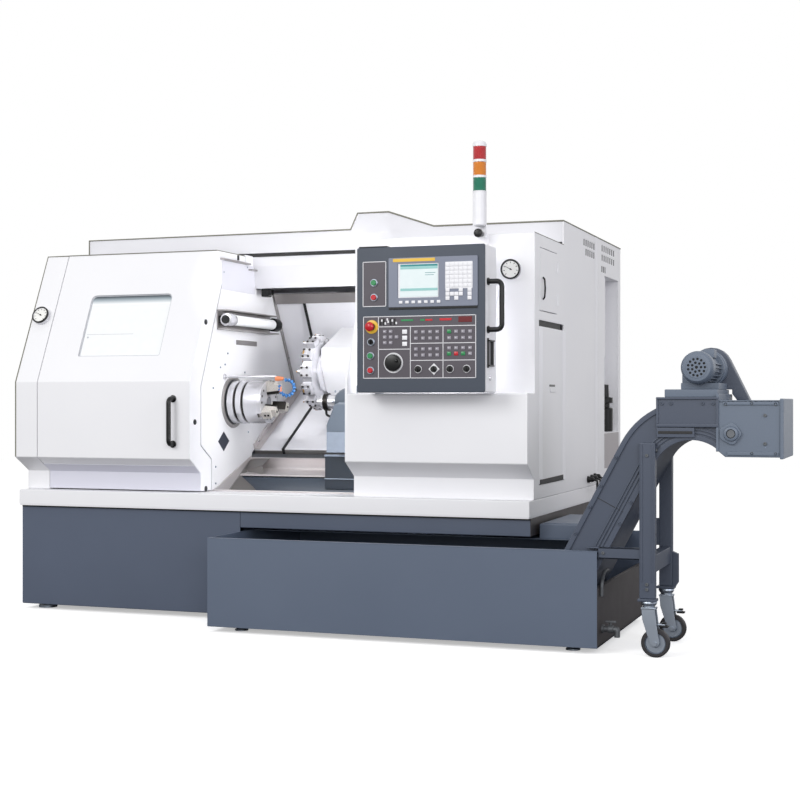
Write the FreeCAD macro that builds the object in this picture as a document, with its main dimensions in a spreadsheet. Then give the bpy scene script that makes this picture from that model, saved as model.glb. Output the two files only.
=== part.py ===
"""CNC turning lathe with a slant bed, a sliding front door and a chip conveyor.

Lengths are in millimetres.  While the machine is drawn, x runs along it from the
left end of the base, y goes back from the front face of the base and z goes up
from the floor.  Every finished piece is then set down so that the origin is the
middle of the machine's footprint.  What sits on the slanted bed is drawn in a
second frame: its origin lies on the spindle axis, its y goes up along the slant
and its z stands square on the slant.
"""
import FreeCAD, Part
import math
import os

import Sketcher
from FreeCAD import Placement, Rotation, Vector

document = FreeCAD.newDocument("turning_lathe")


# ---------------------------------------------------------------- sizes and the sheet
class Size:
    """A length that knows its number and the sheet formula that it comes from."""

    def __init__(self, number, formula):
        self.number = float(number)
        self.formula = formula

    def __add__(self, other):
        return Size(self.number + number(other), f"({self.formula} + {formula(other)})")

    def __radd__(self, other):
        return Size(number(other) + self.number, f"({formula(other)} + {self.formula})")

    def __sub__(self, other):
        return Size(self.number - number(other), f"({self.formula} - {formula(other)})")

    def __rsub__(self, other):
        return Size(number(other) - self.number, f"({formula(other)} - {self.formula})")

    def __mul__(self, other):
        return Size(self.number * number(other), f"({self.formula} * {formula(other)})")

    def __rmul__(self, other):
        return Size(number(other) * self.number, f"({formula(other)} * {self.formula})")

    def __truediv__(self, other):
        return Size(self.number / number(other), f"({self.formula} / {formula(other)})")

    def __neg__(self):
        return Size(-self.number, f"(-1 * {self.formula})")


def number(value):
    return value.number if isinstance(value, Size) else float(value)


def formula(value):
    return value.formula if isinstance(value, Size) else f"({float(value):.6f})"


def sine(degrees):
    return Size(math.sin(math.radians(number(degrees))), f"sin({formula(degrees)} * 1 deg)")


def cosine(degrees):
    return Size(math.cos(math.radians(number(degrees))), f"cos({formula(degrees)} * 1 deg)")


class SizeSheet:
    """The spreadsheet of driving dimensions, one aliased cell for each."""

    def __init__(self):
        self.cells = document.addObject("Spreadsheet::Sheet", "Sizes")
        self.row = 0

    def add(self, title, **values):
        self.row += 1
        self.cells.set(f"A{self.row}", title)
        for alias, value in values.items():
            self.row += 1
            self.cells.set(f"A{self.row}", alias.replace("_", " "))
            self.cells.set(f"B{self.row}", str(value))
            self.cells.setAlias(f"B{self.row}", alias)
            setattr(self, alias, Size(value, f"Sizes.{alias}"))


S = SizeSheet()
S.add("Base and footprint", machine_length=2572, machine_depth=1960, base_bottom=25, base_top=510,
      sill_top=585, sill_front=-25, overall_length=3660, tank_front=-362)
S.add("Front profile of the covers", recess_face=50, recess_top=676, cover_face=-60, foot_top=745,
      bend_height=1109, roof_front=222, roof_height=1745, fascia_face=607, skin=8,
      foot_share=0.5532, bend_share=0.2117, roof_share=0.6505)
S.add("Door and opening", strip_right=124, door_left=127, door_right=955, door_bottom=590, door_depth=108,
      door_gap=6, door_roof_back=530, wall_left=943, opening_right=1731, window_left=318,
      window_right=764, window_bottom=1232, window_top=1535, handle_middle=867, handle_low=802,
      handle_high=1040)
S.add("Right cover", ledge_height=1050, wall_face=66, wall_top=1752)
S.add("Rear housing", fascia_bottom=1765, fascia_top=1865, header_bend=1700, header_bottom=1590,
      hood_left=1494, hood_top_left=1531, hood_top_right=1694, hood_right=1928, hood_top=1945,
      hood_back=1150)
S.add("Spindle and slant", spindle_back=390, spindle_height=1012, bed_slant=30, way_level=-331,
      back_level=693, cover_top=255, chamber_right=2400)
S.add("Chuck", chuck_left=968, chuck_right=1150, chuck_radius=105, spindle_bore=26, jaw_right=1215,
      jaw_width=30, slot_width=24)
S.add("Turret", turret_centre=300, disc_radius=150, disc_left=1279, disc_right=1330, station_count=12,
      station_angle=30,
      carriage_left=1339, carriage_right=1629, carriage_top=-130)
S.add("Tailstock", tail_left=1515, tail_right=1800, tail_radius=88, quill_radius=35, centre_tip=1390)
S.add("Operator panel", panel_left=1851, panel_right=2431, panel_front=-220, panel_back=-50,
      panel_bottom=1052, panel_top=1680, pivot_along=1885, pivot_back=-30)
S.add("Signal tower", tower_along=2340, tower_back=4, tower_radius=30.5, tower_pivot=1748,
      tower_foot=1780, tower_top=2150)
S.add("Coolant tank", tank_left=1200, tank_right=2938, tank_back=640, tank_top=415, tank_wall=6,
      tank_side_top=265)
S.add("Chip conveyor", casing_front=-318, casing_back=78, arch_along=3307, arch_height=704,
      arch_radius=158, casing_depth=157, climb_angle=62, foot_along=2592, run_bottom=43, run_left=1262,
      head_left=3405, head_right=3660, head_bottom=797, head_top=1019, shaft_along=3462,
      shaft_height=888, leg_left=3106, leg_right=3169, leg_bottom=233, caster_along=3140,
      wheel_along=3167, wheel_radius=57)

middle_along = S.overall_length / 2
middle_back = (S.machine_depth + S.tank_front) / 2


def bind(thing, name, value):
    """Sets one property of a feature from the sheet."""
    thing.setExpression(name, formula(value))


# ---------------------------------------------------------------- outlines
class Bend:
    """Makes the edge between the points before and after it an arc of this radius."""

    def __init__(self, radius, left_turn=True):
        self.radius = radius
        self.left_turn = left_turn


class Ring:
    """A full circle in an outline."""

    def __init__(self, across, up, radius):
        self.across = across
        self.up = up
        self.radius = radius


def arc_centre(start, end, bend):
    """The centre of the shorter arc of a bend from start to end."""
    chord = end - start
    half = chord.Length / 2
    side = Vector(-chord.y, chord.x, 0).normalize()
    reach = math.sqrt(max(number(bend.radius) ** 2 - half ** 2, 0.0))
    return (start + end) * 0.5 + side * (reach if bend.left_turn else -reach)


def add_loop(sketch, loop):
    """Draws one closed loop of lines and arcs and ties every corner to the sheet."""
    corners = [item for item in loop if not isinstance(item, Bend)]
    bends = {}
    for place, item in enumerate(loop):
        if isinstance(item, Bend):
            before = sum(1 for other in loop[:place] if not isinstance(other, Bend)) - 1
            bends[before] = item
    spots = [Vector(number(across), number(up), 0) for across, up in corners]
    edges = []
    ends = []
    for place, spot in enumerate(spots):
        following = spots[(place + 1) % len(spots)]
        bend = bends.get(place)
        if bend is None:
            edges.append(Part.LineSegment(spot, following))
            ends.append((1, 2))
            continue
        centre = arc_centre(spot, following, bend)
        circle = Part.Circle(centre, Vector(0, 0, 1), number(bend.radius))
        turn_start = math.atan2(spot.y - centre.y, spot.x - centre.x)
        turn_end = math.atan2(following.y - centre.y, following.x - centre.x)
        if bend.left_turn:
            edges.append(Part.ArcOfCircle(circle, turn_start, turn_end))
            ends.append((1, 2))
        else:
            edges.append(Part.ArcOfCircle(circle, turn_end, turn_start))
            ends.append((2, 1))
    names = sketch.addGeometry(edges, False)
    rules = []
    formulas = []
    for place, name in enumerate(names):
        following = (place + 1) % len(names)
        rules.append(Sketcher.Constraint("Coincident", name, ends[place][1],
                                         names[following], ends[following][0]))
        formulas.append(None)
        for kind, value in zip(("DistanceX", "DistanceY"), corners[place]):
            rules.append(Sketcher.Constraint(kind, -1, 1, name, ends[place][0], number(value)))
            formulas.append(value)
        if place in bends:
            rules.append(Sketcher.Constraint("Radius", name, number(bends[place].radius)))
            formulas.append(bends[place].radius)
    tie(sketch, rules, formulas)


def add_ring(sketch, ring):
    """Draws one full circle and ties its centre and radius to the sheet."""
    centre = Vector(number(ring.across), number(ring.up), 0)
    name = sketch.addGeometry(Part.Circle(centre, Vector(0, 0, 1), number(ring.radius)), False)
    rules = [Sketcher.Constraint("DistanceX", -1, 1, name, 3, centre.x),
             Sketcher.Constraint("DistanceY", -1, 1, name, 3, centre.y),
             Sketcher.Constraint("Radius", name, number(ring.radius))]
    tie(sketch, rules, [ring.across, ring.up, ring.radius])


def tie(sketch, rules, formulas):
    first = sketch.ConstraintCount
    sketch.addConstraint(rules)
    for place, value in enumerate(formulas):
        if isinstance(value, Size):
            sketch.setExpression(f"Constraints[{first + place}]", formula(value))


PLANES = {"x": "YZ_Plane", "y": "XZ_Plane", "z": "XY_Plane"}


def draw(body, plane, level, loops):
    """A sketch on one of the body's own planes, moved along the plane's normal."""
    sketch = body.newObject("Sketcher::SketchObject", f"{body.Name}_outline")
    support = [item for item in body.Origin.OriginFeatures if item.Role == plane][0]
    sketch.AttachmentSupport = [(support, "")]
    sketch.MapMode = "FlatFace"
    bind(sketch, "AttachmentOffset.Base.z", level)
    for loop in loops:
        if isinstance(loop, Ring):
            add_ring(sketch, loop)
        else:
            add_loop(sketch, loop)
    return sketch


def new_body(name):
    body = document.addObject("PartDesign::Body", name)
    body.Label = name
    return body


def pad(body, axis, start, end, *loops):
    """Adds a solid of this outline from start to end along an axis."""
    level = -end if axis == "y" else start
    feature = body.newObject("PartDesign::Pad", f"{body.Name}_pad")
    feature.Profile = draw(body, PLANES[axis], level, loops)
    bind(feature, "Length", end - start)
    return feature


def pocket(body, axis, start, end, *loops):
    """Cuts this outline out of the body from start to end along an axis."""
    level = -start if axis == "y" else end
    feature = body.newObject("PartDesign::Pocket", f"{body.Name}_pocket")
    feature.Profile = draw(body, PLANES[axis], level, loops)
    bind(feature, "Length", end - start)
    return feature


def turn(body, axis, outline, cut=False):
    """Revolves an outline of (along, radius) pairs about one of the body's own axes."""
    if axis == "x":
        plane, reference, corners = "XY_Plane", "H_Axis", outline
    else:
        plane = "XY_Plane" if axis == "y" else "XZ_Plane"
        reference = "V_Axis"
        corners = [item if isinstance(item, Bend) else (item[1], item[0]) for item in outline]
    kind = "PartDesign::Groove" if cut else "PartDesign::Revolution"
    feature = body.newObject(kind, f"{body.Name}_turned")
    sketch = draw(body, plane, 0, [corners])
    feature.Profile = sketch
    feature.ReferenceAxis = (sketch, [reference])
    feature.Angle = 360.0
    return feature


def repeat_round(body, features, count):
    """Repeats features evenly about the body's own x axis."""
    pattern = body.newObject("PartDesign::PolarPattern", f"{body.Name}_round")
    pattern.Originals = features
    axis = [item for item in body.Origin.OriginFeatures if item.Role == "X_Axis"][0]
    pattern.Axis = (axis, [""])
    pattern.Angle = 360.0
    bind(pattern, "Occurrences", count)
    body.Tip = pattern
    return pattern


def repeat_along(body, features, length, count):
    """Repeats features evenly along the body's own y axis."""
    pattern = body.newObject("PartDesign::LinearPattern", f"{body.Name}_row")
    pattern.Originals = features
    axis = [item for item in body.Origin.OriginFeatures if item.Role == "Y_Axis"][0]
    pattern.Direction = (axis, [""])
    bind(pattern, "Length", length)
    pattern.Occurrences = count
    body.Tip = pattern
    return pattern


def rectangle(left, right, low, high):
    return [(left, low), (right, low), (right, high), (left, high)]


def rounded(left, right, low, high, radius):
    """A rectangle with four round corners."""
    return [(left + radius, low), (right - radius, low), Bend(radius), (right, low + radius),
            (right, high - radius), Bend(radius), (right - radius, high), (left + radius, high),
            Bend(radius), (left, high - radius), (left, low + radius), Bend(radius)]


# ---------------------------------------------------------------- primitives and seats
def block(name, along, back, up):
    """A box between three pairs of limits."""
    thing = document.addObject("Part::Box", name)
    thing.Label = name
    for size, base, (low, high) in zip(("Length", "Width", "Height"), "xyz", (along, back, up)):
        bind(thing, size, high - low)
        bind(thing, f"Placement.Base.{base}", low)
    return thing


ROD_TURNS = {"x": Rotation(Vector(0, 1, 0), 90), "y": Rotation(Vector(1, 0, 0), -90),
             "z": Rotation()}


def rod(name, axis, centre, radius, low, high):
    """A cylinder along an axis; centre gives its two other coordinates in x, y, z order."""
    thing = document.addObject("Part::Cylinder", name)
    thing.Label = name
    thing.Placement = Placement(Vector(), ROD_TURNS[axis])
    bind(thing, "Radius", radius)
    bind(thing, "Height", high - low)
    spot = list(centre)
    spot.insert("xyz".index(axis), low)
    for base, value in zip("xyz", spot):
        bind(thing, f"Placement.Base.{base}", value)
    return thing


def fuse(name, *pieces):
    thing = document.addObject("Part::MultiFuse", name)
    thing.Label = name
    thing.Shapes = list(pieces)
    thing.Refine = True
    return thing


def cut(name, piece, *tools):
    thing = document.addObject("Part::Cut", name)
    thing.Label = name
    thing.Base = piece
    thing.Tool = tools[0] if len(tools) == 1 else fuse(f"{name}_tools", *tools)
    return thing


def group(name, *pieces):
    """Separate solids of one kind in one node."""
    thing = document.addObject("Part::Compound", name)
    thing.Label = name
    thing.Links = list(pieces)
    return thing


def bent_tube(name, points, bend_radius, radius):
    """A round tube along straight runs joined by tangent arcs."""
    spots = [Vector(*(number(value) for value in point)) for point in points]
    edges = []
    start = spots[0]
    for before, corner, after in zip(spots, spots[1:], spots[2:]):
        incoming = (corner - before).normalize()
        outgoing = (after - corner).normalize()
        half_turn = incoming.getAngle(outgoing) / 2
        setback = number(bend_radius) * math.tan(half_turn)
        arc_start = corner - incoming * setback
        arc_end = corner + outgoing * setback
        inward = (outgoing - incoming).normalize()
        rise = number(bend_radius) * (1 / math.cos(half_turn) - 1)
        edges.append(Part.makeLine(start, arc_start))
        edges.append(Part.Arc(arc_start, corner + inward * rise, arc_end).toShape())
        start = arc_end
    edges.append(Part.makeLine(start, spots[-1]))
    path = Part.Wire(edges)
    section = Part.Wire(Part.makeCircle(number(radius), spots[0], spots[1] - spots[0]))
    thing = document.addObject("Part::Feature", name)
    thing.Label = name
    thing.Shape = path.makePipeShell([section], True, False)
    return thing


kept = []


def keep(thing, along=0.0, back=0.0, up=0.0, tilt=None):
    """Sets a finished piece down in the machine's own frame and keeps it."""
    if tilt is not None:
        thing.Placement = Placement(Vector(), Rotation(Vector(1, 0, 0), number(tilt)))
        if isinstance(tilt, Size):
            bind(thing, "Placement.Rotation.Angle", tilt)
    shift = (along - middle_along, back - middle_back, up)
    for base, value in zip("xyz", shift):
        if thing.TypeId == "Part::Feature":
            continue
        bind(thing, f"Placement.Base.{base}", value)
    if thing.TypeId == "Part::Feature":
        thing.Placement = Placement(Vector(*(number(value) for value in shift)), Rotation())
    kept.append(thing)
    return thing


def keep_slanted(thing, along=0.0, up_slant=0.0, off_slant=0.0):
    """Keeps a piece that is drawn in the frame of the slanted bed."""
    back = S.spindle_back + up_slant * cosine(S.bed_slant) - off_slant * sine(S.bed_slant)
    up = S.spindle_height + up_slant * sine(S.bed_slant) + off_slant * cosine(S.bed_slant)
    return keep(thing, along, back, up, S.bed_slant)


# ---------------------------------------------------------------- base
base = new_body("base_plinth")
pad(base, "z", S.base_bottom, S.base_top, rectangle(0, S.machine_length, 0, S.machine_depth))
TANK_BAY_BACK = 670
pocket(base, "y", Size(-1, "-1"), Size(TANK_BAY_BACK, str(TANK_BAY_BACK)),
       rectangle(S.tank_left - 15, S.machine_length + 1, S.base_bottom - 1, S.tank_top + 15))
chip_drop = rectangle(S.door_right + 155, S.chamber_right - 100, 200, 430)
pocket(base, "z", S.tank_top, S.base_top + 1, chip_drop)
keep(base)

pads = []
for along, back in ((90, 90), (1095, 90), (90, 1870), (1286, 1870), (2482, 1870), (2482, 760)):
    name = f"pad_{len(pads)}"
    foot = rod(f"{name}_foot", "z", (along, back), 45, Size(0, "0"), Size(12, "12"))
    screw = rod(f"{name}_screw", "z", (along, back), 14, Size(12, "12"), S.base_bottom)
    pads.append(fuse(name, foot, screw))
keep(group("levelling_pads", *pads))

SILL_RAIL = 60
sill = new_body("sill_tray")
pad(sill, "z", S.base_top, S.sill_top, rectangle(0, S.machine_length, S.sill_front, S.machine_depth))
pocket(sill, "z", S.base_top - 1, S.sill_top + 1,
       rectangle(SILL_RAIL, S.machine_length - SILL_RAIL, 165, S.machine_depth - SILL_RAIL))
keep(sill)


# ---------------------------------------------------------------- enclosure
def front_profile(inset, bottom):
    """The covers' side view from the foot to the roof's front corner, moved in by inset."""
    return [(S.recess_face + inset, bottom),
            (S.recess_face + inset, S.recess_top + inset * S.foot_share),
            (S.cover_face + inset, S.foot_top + inset * S.foot_share),
            (S.cover_face + inset, S.bend_height - inset * S.bend_share),
            (S.roof_front + inset * S.roof_share, S.roof_height - inset)]


behind_door = S.door_depth + S.door_gap
roof_back = S.fascia_face - 2

left_cover = new_body("left_cover")
pad(left_cover, "x", Size(0, "0"), S.strip_right,
    front_profile(Size(0, "0"), S.sill_top) + [(roof_back, S.roof_height), (roof_back, S.sill_top)])
pad(left_cover, "x", Size(0, "0"), S.wall_left,
    front_profile(behind_door, S.sill_top)
    + [(roof_back, S.roof_height - behind_door), (roof_back, S.sill_top)])
pad(left_cover, "x", Size(0, "0"), S.skin,
    [(S.roof_front, S.sill_top), (S.machine_depth, S.sill_top), (S.machine_depth, S.fascia_top),
     (S.fascia_face, S.fascia_top), (S.fascia_face, S.roof_height), (S.roof_front, S.roof_height)])
BAR_OPENING = 60
pocket(left_cover, "x", Size(-1, "-1"), S.skin + 1,
       Ring(S.spindle_back, S.spindle_height, Size(BAR_OPENING, str(BAR_OPENING))))
hollow = behind_door + S.skin
pocket(left_cover, "x", S.skin, S.wall_left + 1,
       front_profile(hollow, S.sill_top - 1)
       + [(roof_back + 1, S.roof_height - hollow), (roof_back + 1, S.sill_top - 1)])
keep(left_cover)

right_cover = new_body("right_cover")
right_end = S.machine_length - S.skin
pad(right_cover, "x", S.opening_right, right_end,
    [(S.recess_face, S.sill_top), (S.recess_face, S.recess_top), (S.cover_face, S.foot_top),
     (S.cover_face, S.ledge_height), (S.wall_face, S.ledge_height), (S.wall_face, S.wall_top),
     (roof_back, S.wall_top), (roof_back, S.wall_top - S.skin),
     (S.wall_face + S.skin, S.wall_top - S.skin), (S.wall_face + S.skin, S.ledge_height - S.skin),
     (S.cover_face + S.skin, S.ledge_height - S.skin), (S.cover_face + S.skin, S.foot_top + 4),
     (S.recess_face + S.skin, S.recess_top + 4), (S.recess_face + S.skin, S.sill_top)])
JAMB = 12
pad(right_cover, "x", S.opening_right, S.opening_right + JAMB,
    front_profile(Size(0, "0"), S.sill_top)[:4]
    + [(S.wall_face, S.bend_height + (S.wall_face - S.cover_face) * 2.2553), (S.wall_face, S.wall_top),
       (S.wall_face + 60, S.wall_top), (S.wall_face + 60, S.bend_height),
       (S.cover_face + behind_door, S.bend_height - 24), (S.cover_face + behind_door, S.foot_top + 63),
       (S.recess_face + behind_door, S.recess_top + 63), (S.recess_face + behind_door, S.sill_top)])
POST_RADIUS = 12
pad(right_cover, "z", S.ledge_height - 1, S.panel_top + 16,
    Ring(S.pivot_along, S.pivot_back, Size(POST_RADIUS, str(POST_RADIUS))))
pad(right_cover, "z", S.panel_top + 4, S.panel_top + 16,
    rectangle(S.panel_left, S.panel_left + 129, S.pivot_back - 30, S.wall_face + 1))
keep(right_cover)

side_wall = new_body("right_wall")
pad(side_wall, "x", right_end, S.machine_length,
    [(S.recess_face, S.sill_top), (S.recess_face, S.recess_top), (S.cover_face, S.foot_top),
     (S.cover_face, S.ledge_height), (S.wall_face, S.ledge_height), (S.wall_face, S.wall_top),
     (S.fascia_face, S.wall_top), (S.fascia_face, S.fascia_top), (S.machine_depth, S.fascia_top),
     (S.machine_depth, S.sill_top)])
S.add("Side doors and rear bay", upper_front=155, upper_back=475, upper_low=1415, upper_high=1697,
      lower_front=139, lower_back=611, lower_low=645, lower_high=1350, bay_front=1530, bay_back=1900,
      bay_low=850, bay_high=1680, bay_depth=150, vent_front=1050, vent_length=750, vent_low=1765,
      vent_high=1835)
pocket(side_wall, "x", right_end - 1, S.machine_length + 1,
       rectangle(S.upper_front, S.upper_back, S.upper_low, S.upper_high),
       rectangle(S.lower_front, S.lower_back, S.lower_low, S.lower_high),
       rectangle(S.bay_front, S.bay_back, S.bay_low, S.bay_high))
pad(side_wall, "x", right_end - S.bay_depth, right_end,
    rectangle(S.bay_front - 6, S.bay_back + 6, S.bay_low - 6, S.bay_high + 6))
pocket(side_wall, "x", right_end - S.bay_depth + 6, right_end + 1,
       rectangle(S.bay_front, S.bay_back, S.bay_low, S.bay_high))
pad(side_wall, "z", S.bay_low - 1, S.bay_low + 260,
    Ring(S.machine_length - 52, S.bay_front + 270, Size(42, "42")))
VENT_COUNT = 26
vent = pocket(side_wall, "x", right_end - 1, S.machine_length + 1,
              rectangle(S.vent_front, S.vent_front + 12, S.vent_low, S.vent_high))
repeat_along(side_wall, [vent], S.vent_length, VENT_COUNT)
keep(side_wall)

housing = new_body("rear_housing")
pad(housing, "x", S.skin, right_end,
    [(S.fascia_face, S.fascia_top), (S.machine_depth, S.fascia_top), (S.machine_depth, S.sill_top),
     (S.machine_depth - S.skin, S.sill_top), (S.machine_depth - S.skin, S.fascia_top - S.skin),
     (S.fascia_face + S.skin, S.fascia_top - S.skin), (S.fascia_face + S.skin, S.header_bend - 1),
     (S.fascia_face + 36, S.header_bottom), (S.fascia_face + 28, S.header_bottom),
     (S.fascia_face, S.header_bend), (S.fascia_face, S.fascia_bottom - 4),
     (S.fascia_face + 4, S.fascia_bottom - 4), (S.fascia_face + 4, S.fascia_bottom),
     (S.fascia_face, S.fascia_bottom)])
pad(housing, "y", S.fascia_face, S.hood_back,
    [(S.hood_left, S.fascia_top - 1), (S.hood_right, S.fascia_top - 1), (S.hood_right, S.fascia_top),
     (S.hood_top_right, S.hood_top), (S.hood_top_left, S.hood_top), (S.hood_left, S.fascia_top)])
keep(housing)


# ---------------------------------------------------------------- machining chamber
def slant_point(up_slant, off_slant):
    """A point of the slanted frame as (back, up) in the machine's frame."""
    back = S.spindle_back + up_slant * cosine(S.bed_slant) - off_slant * sine(S.bed_slant)
    up = S.spindle_height + up_slant * sine(S.bed_slant) + off_slant * cosine(S.bed_slant)
    return back, up


CEILING = 10
chamber_low = slant_point(S.way_level * 0 + 60, S.way_level)
chamber_corner = slant_point(S.back_level, S.way_level)
chamber_high = slant_point(S.back_level, S.cover_top)
rear_corners = [(chamber_high[0], S.header_bottom - 2), chamber_corner, chamber_low,
                (chamber_low[0], S.sill_top)]
wall = new_body("chamber_walls")
pad(wall, "x", S.wall_left, S.door_right,
    front_profile(behind_door, S.sill_top)
    + [(roof_back, S.roof_height - behind_door), (roof_back, S.header_bottom - 2)] + rear_corners)
NOSE_HOLE = 112
pocket(wall, "x", S.wall_left - 1, S.door_right + 1,
       Ring(S.spindle_back, S.spindle_height, Size(NOSE_HOLE, str(NOSE_HOLE))))
pad(wall, "x", S.chamber_right, S.chamber_right + S.skin,
    [(S.recess_face + behind_door, S.sill_top), (S.recess_face + behind_door, S.header_bottom - 2)]
    + rear_corners)
keep(wall)

chute = new_body("chip_chute")
S.add("Chip chute", drop_front=200, drop_back=430, pan_front=450, pan_low=652, pan_back=596, pan_high=684)
chute_left = S.door_right + 1
chute_right = S.chamber_right - 1
pad(chute, "x", chute_left, chute_right,
    [(S.drop_back, S.base_top + 2), (S.drop_back + 8, S.base_top + 2), (S.pan_front + 8, S.sill_top),
     (S.pan_front + 8, S.pan_low - 6), (S.pan_back, S.pan_high - 8), (S.pan_back, S.pan_high),
     (S.pan_front, S.pan_low), (S.pan_front, S.sill_top)])
pad(chute, "x", chute_left, chute_right,
    [(S.drop_front - 10, S.base_top + 2), (S.drop_front, S.base_top + 2),
     (S.drop_front, S.base_top + 12), (170, S.sill_top + 8), (166, S.sill_top + 8), (166, S.sill_top)])
for end in (chute_left, chute_right - 6):
    pad(chute, "x", end, end + 6,
        [(S.drop_front - 10, S.base_top + 2), (S.drop_back + 8, S.base_top + 2),
         (S.pan_front + 8, S.sill_top), (S.pan_front + 8, S.pan_low - 4), (S.pan_front, S.pan_low - 4),
         (166, S.sill_top + 8), (166, S.sill_top)])
pad(chute, "x", Size(1425, "1425"), chute_right,
    rectangle(S.pan_front - 10, S.pan_front, S.sill_top, Size(757, "757")))
keep(chute)

bed_casting = new_body("bed_casting")
way_low = slant_point(Size(100, "100"), S.way_level - 69)
way_high = slant_point(Size(680, "680"), S.way_level - 69)
pad(bed_casting, "x", Size(62, "62"), S.chamber_right - 5,
    [(620, S.base_top), (650, S.pan_high), way_low, way_high, (1450, way_high[1]), (1560, S.base_top)])
ways = new_body("bed_ways")
WAY_HEIGHT = 28
for low in (170, 560):
    pad(ways, "x", S.door_right + 5, S.chamber_right - 5,
        rectangle(low, low + 45, S.way_level - 70, S.way_level - 69 + WAY_HEIGHT))
pad(ways, "x", S.door_right + 5, S.chamber_right - 5,
    [(20, S.way_level - 8), (20, S.way_level - 60), (62, S.way_level - 60), (62, S.way_level - 70),
     (120, S.way_level - 70), (120, S.way_level - 37), (62, S.way_level - 37), (62, S.way_level - 8)])
bind(ways, "Placement.Base.y", S.spindle_back)
bind(ways, "Placement.Base.z", S.spindle_height)
ways.Placement = Placement(Vector(0, S.spindle_back.number, S.spindle_height.number),
                           Rotation(Vector(1, 0, 0), S.bed_slant.number))
bind(ways, "Placement.Rotation.Angle", S.bed_slant)
keep(fuse("slant_bed", bed_casting, ways))

COVER_SHEET = 6
LEVEL_STEP = 7.5


def way_cover(body, layer, left, right):
    """One L-shaped section of the telescopic way covers; higher layers lie outside."""
    up = S.way_level + layer * LEVEL_STEP
    back = S.back_level - layer * LEVEL_STEP
    front = S.way_level * 0 + 86 - layer * LEVEL_STEP
    return pad(body, "x", left, right,
               [(front, up - 30), (front, up), (back, up), (back, S.cover_top),
                (back + COVER_SHEET, S.cover_top), (back + COVER_SHEET, up - COVER_SHEET),
                (front + COVER_SHEET, up - COVER_SHEET), (front + COVER_SHEET, up - 30)])


fixed_covers = new_body("way_covers")
way_cover(fixed_covers, 0, S.door_right + 2, Size(1310, "1310"))
way_cover(fixed_covers, 0, Size(2060, "2060"), S.chamber_right - 5)
keep_slanted(fixed_covers)
middle_covers = new_body("way_cover_middle")
way_cover(middle_covers, 1, Size(1130, "1130"), Size(1320, "1320"))
way_cover(middle_covers, 1, Size(1880, "1880"), Size(2200, "2200"))
keep_slanted(middle_covers)
saddle_cover = new_body("saddle_cover")
way_cover(saddle_cover, 2, Size(1125, "1125"), Size(1935, "1935"))
pocket(saddle_cover, "z", S.way_level - 2, S.way_level + 40,
       rectangle(S.carriage_left - 0.5, S.carriage_right + 0.5, 299.5, 600.5))
keep_slanted(saddle_cover)

# ---------------------------------------------------------------- headstock, spindle and chuck
headstock = new_body("headstock")
pad(headstock, "x", Size(320, "320"), Size(900, "900"),
    [(230, S.base_top), (560, S.base_top), (600, 560), (600, 1080), (520, 1150), (290, 1150),
     (230, 1090)])
pad(headstock, "x", Size(899, "899"), Size(960, "960"), Ring(S.spindle_back, S.spindle_height, 110))
BEARING_BORE = 60.5
pocket(headstock, "x", Size(319, "319"), Size(961, "961"),
       Ring(S.spindle_back, S.spindle_height, BEARING_BORE))
keep(headstock)

spindle = new_body("spindle")
pulley = []
for groove in range(4):
    start = 200 + 22 * groove
    pulley += [(start, 122), (start + 4, 122), (start + 8, 108), (start + 12, 108), (start + 16, 122)]
turn(spindle, "x",
     [(150, S.spindle_bore), (150, 45), (190, 45), (190, 122)] + pulley
     + [(294, 122), (294, 60), (960.5, 60), (960.5, 84), (S.chuck_left - 0.5, 84),
        (S.chuck_left - 0.5, S.spindle_bore)])
keep(spindle, 0, S.spindle_back, S.spindle_height)

JAW_TURN = 10.0
chuck = new_body("chuck")
turn(chuck, "x",
     [(S.chuck_left - 0.5, S.spindle_bore), (S.chuck_left - 0.5, S.chuck_radius - 4),
      (S.chuck_left + 3, S.chuck_radius), (S.chuck_left + 38, S.chuck_radius),
      (S.chuck_left + 40, S.chuck_radius - 5), (S.chuck_left + 46, S.chuck_radius - 5),
      (S.chuck_left + 48, S.chuck_radius), (S.chuck_left + 78, S.chuck_radius),
      (S.chuck_left + 80, S.chuck_radius - 5), (S.chuck_left + 86, S.chuck_radius - 5),
      (S.chuck_left + 88, S.chuck_radius), (S.chuck_right - 6, S.chuck_radius),
      (S.chuck_right, S.chuck_radius - 6), (S.chuck_right, S.spindle_bore)])
slot = pocket(chuck, "x", S.chuck_right - 22, S.chuck_right + 1,
              rectangle(-S.slot_width / 2, S.slot_width / 2, 30, S.chuck_radius + 1))
repeat_round(chuck, [slot], Size(3, "3"))
keep(chuck, 0, S.spindle_back, S.spindle_height, JAW_TURN)

for index in range(3):
    jaw = new_body(f"jaw_{index + 1}")
    key = S.slot_width / 2 - 0.4
    pad(jaw, "x", S.chuck_right - 21, S.chuck_right + 1, rectangle(-key, key, 36, 94))
    half = S.jaw_width / 2
    pad(jaw, "x", S.chuck_right + 0.5, S.jaw_right, rectangle(-half, half, 44, 96))
    pocket(jaw, "x", S.jaw_right - 22, S.jaw_right + 1, rectangle(-half - 1, half + 1, 43, 56))
    pocket(jaw, "x", S.jaw_right - 44, S.jaw_right + 1, rectangle(-half - 1, half + 1, 84, 97))
    keep(jaw, 0, S.spindle_back, S.spindle_height, 120.0 * index + JAW_TURN)

# ---------------------------------------------------------------- saddle and turret
saddle = new_body("saddle")
pad(saddle, "x", S.carriage_left, S.carriage_right,
    [(150, S.way_level - 40.5), (640, S.way_level - 40.5), (640, S.way_level - 10), (600, S.way_level - 10),
     (600, S.carriage_top), (300, S.carriage_top), (300, S.way_level - 10), (150, S.way_level - 10)])
keep_slanted(saddle)

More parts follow.
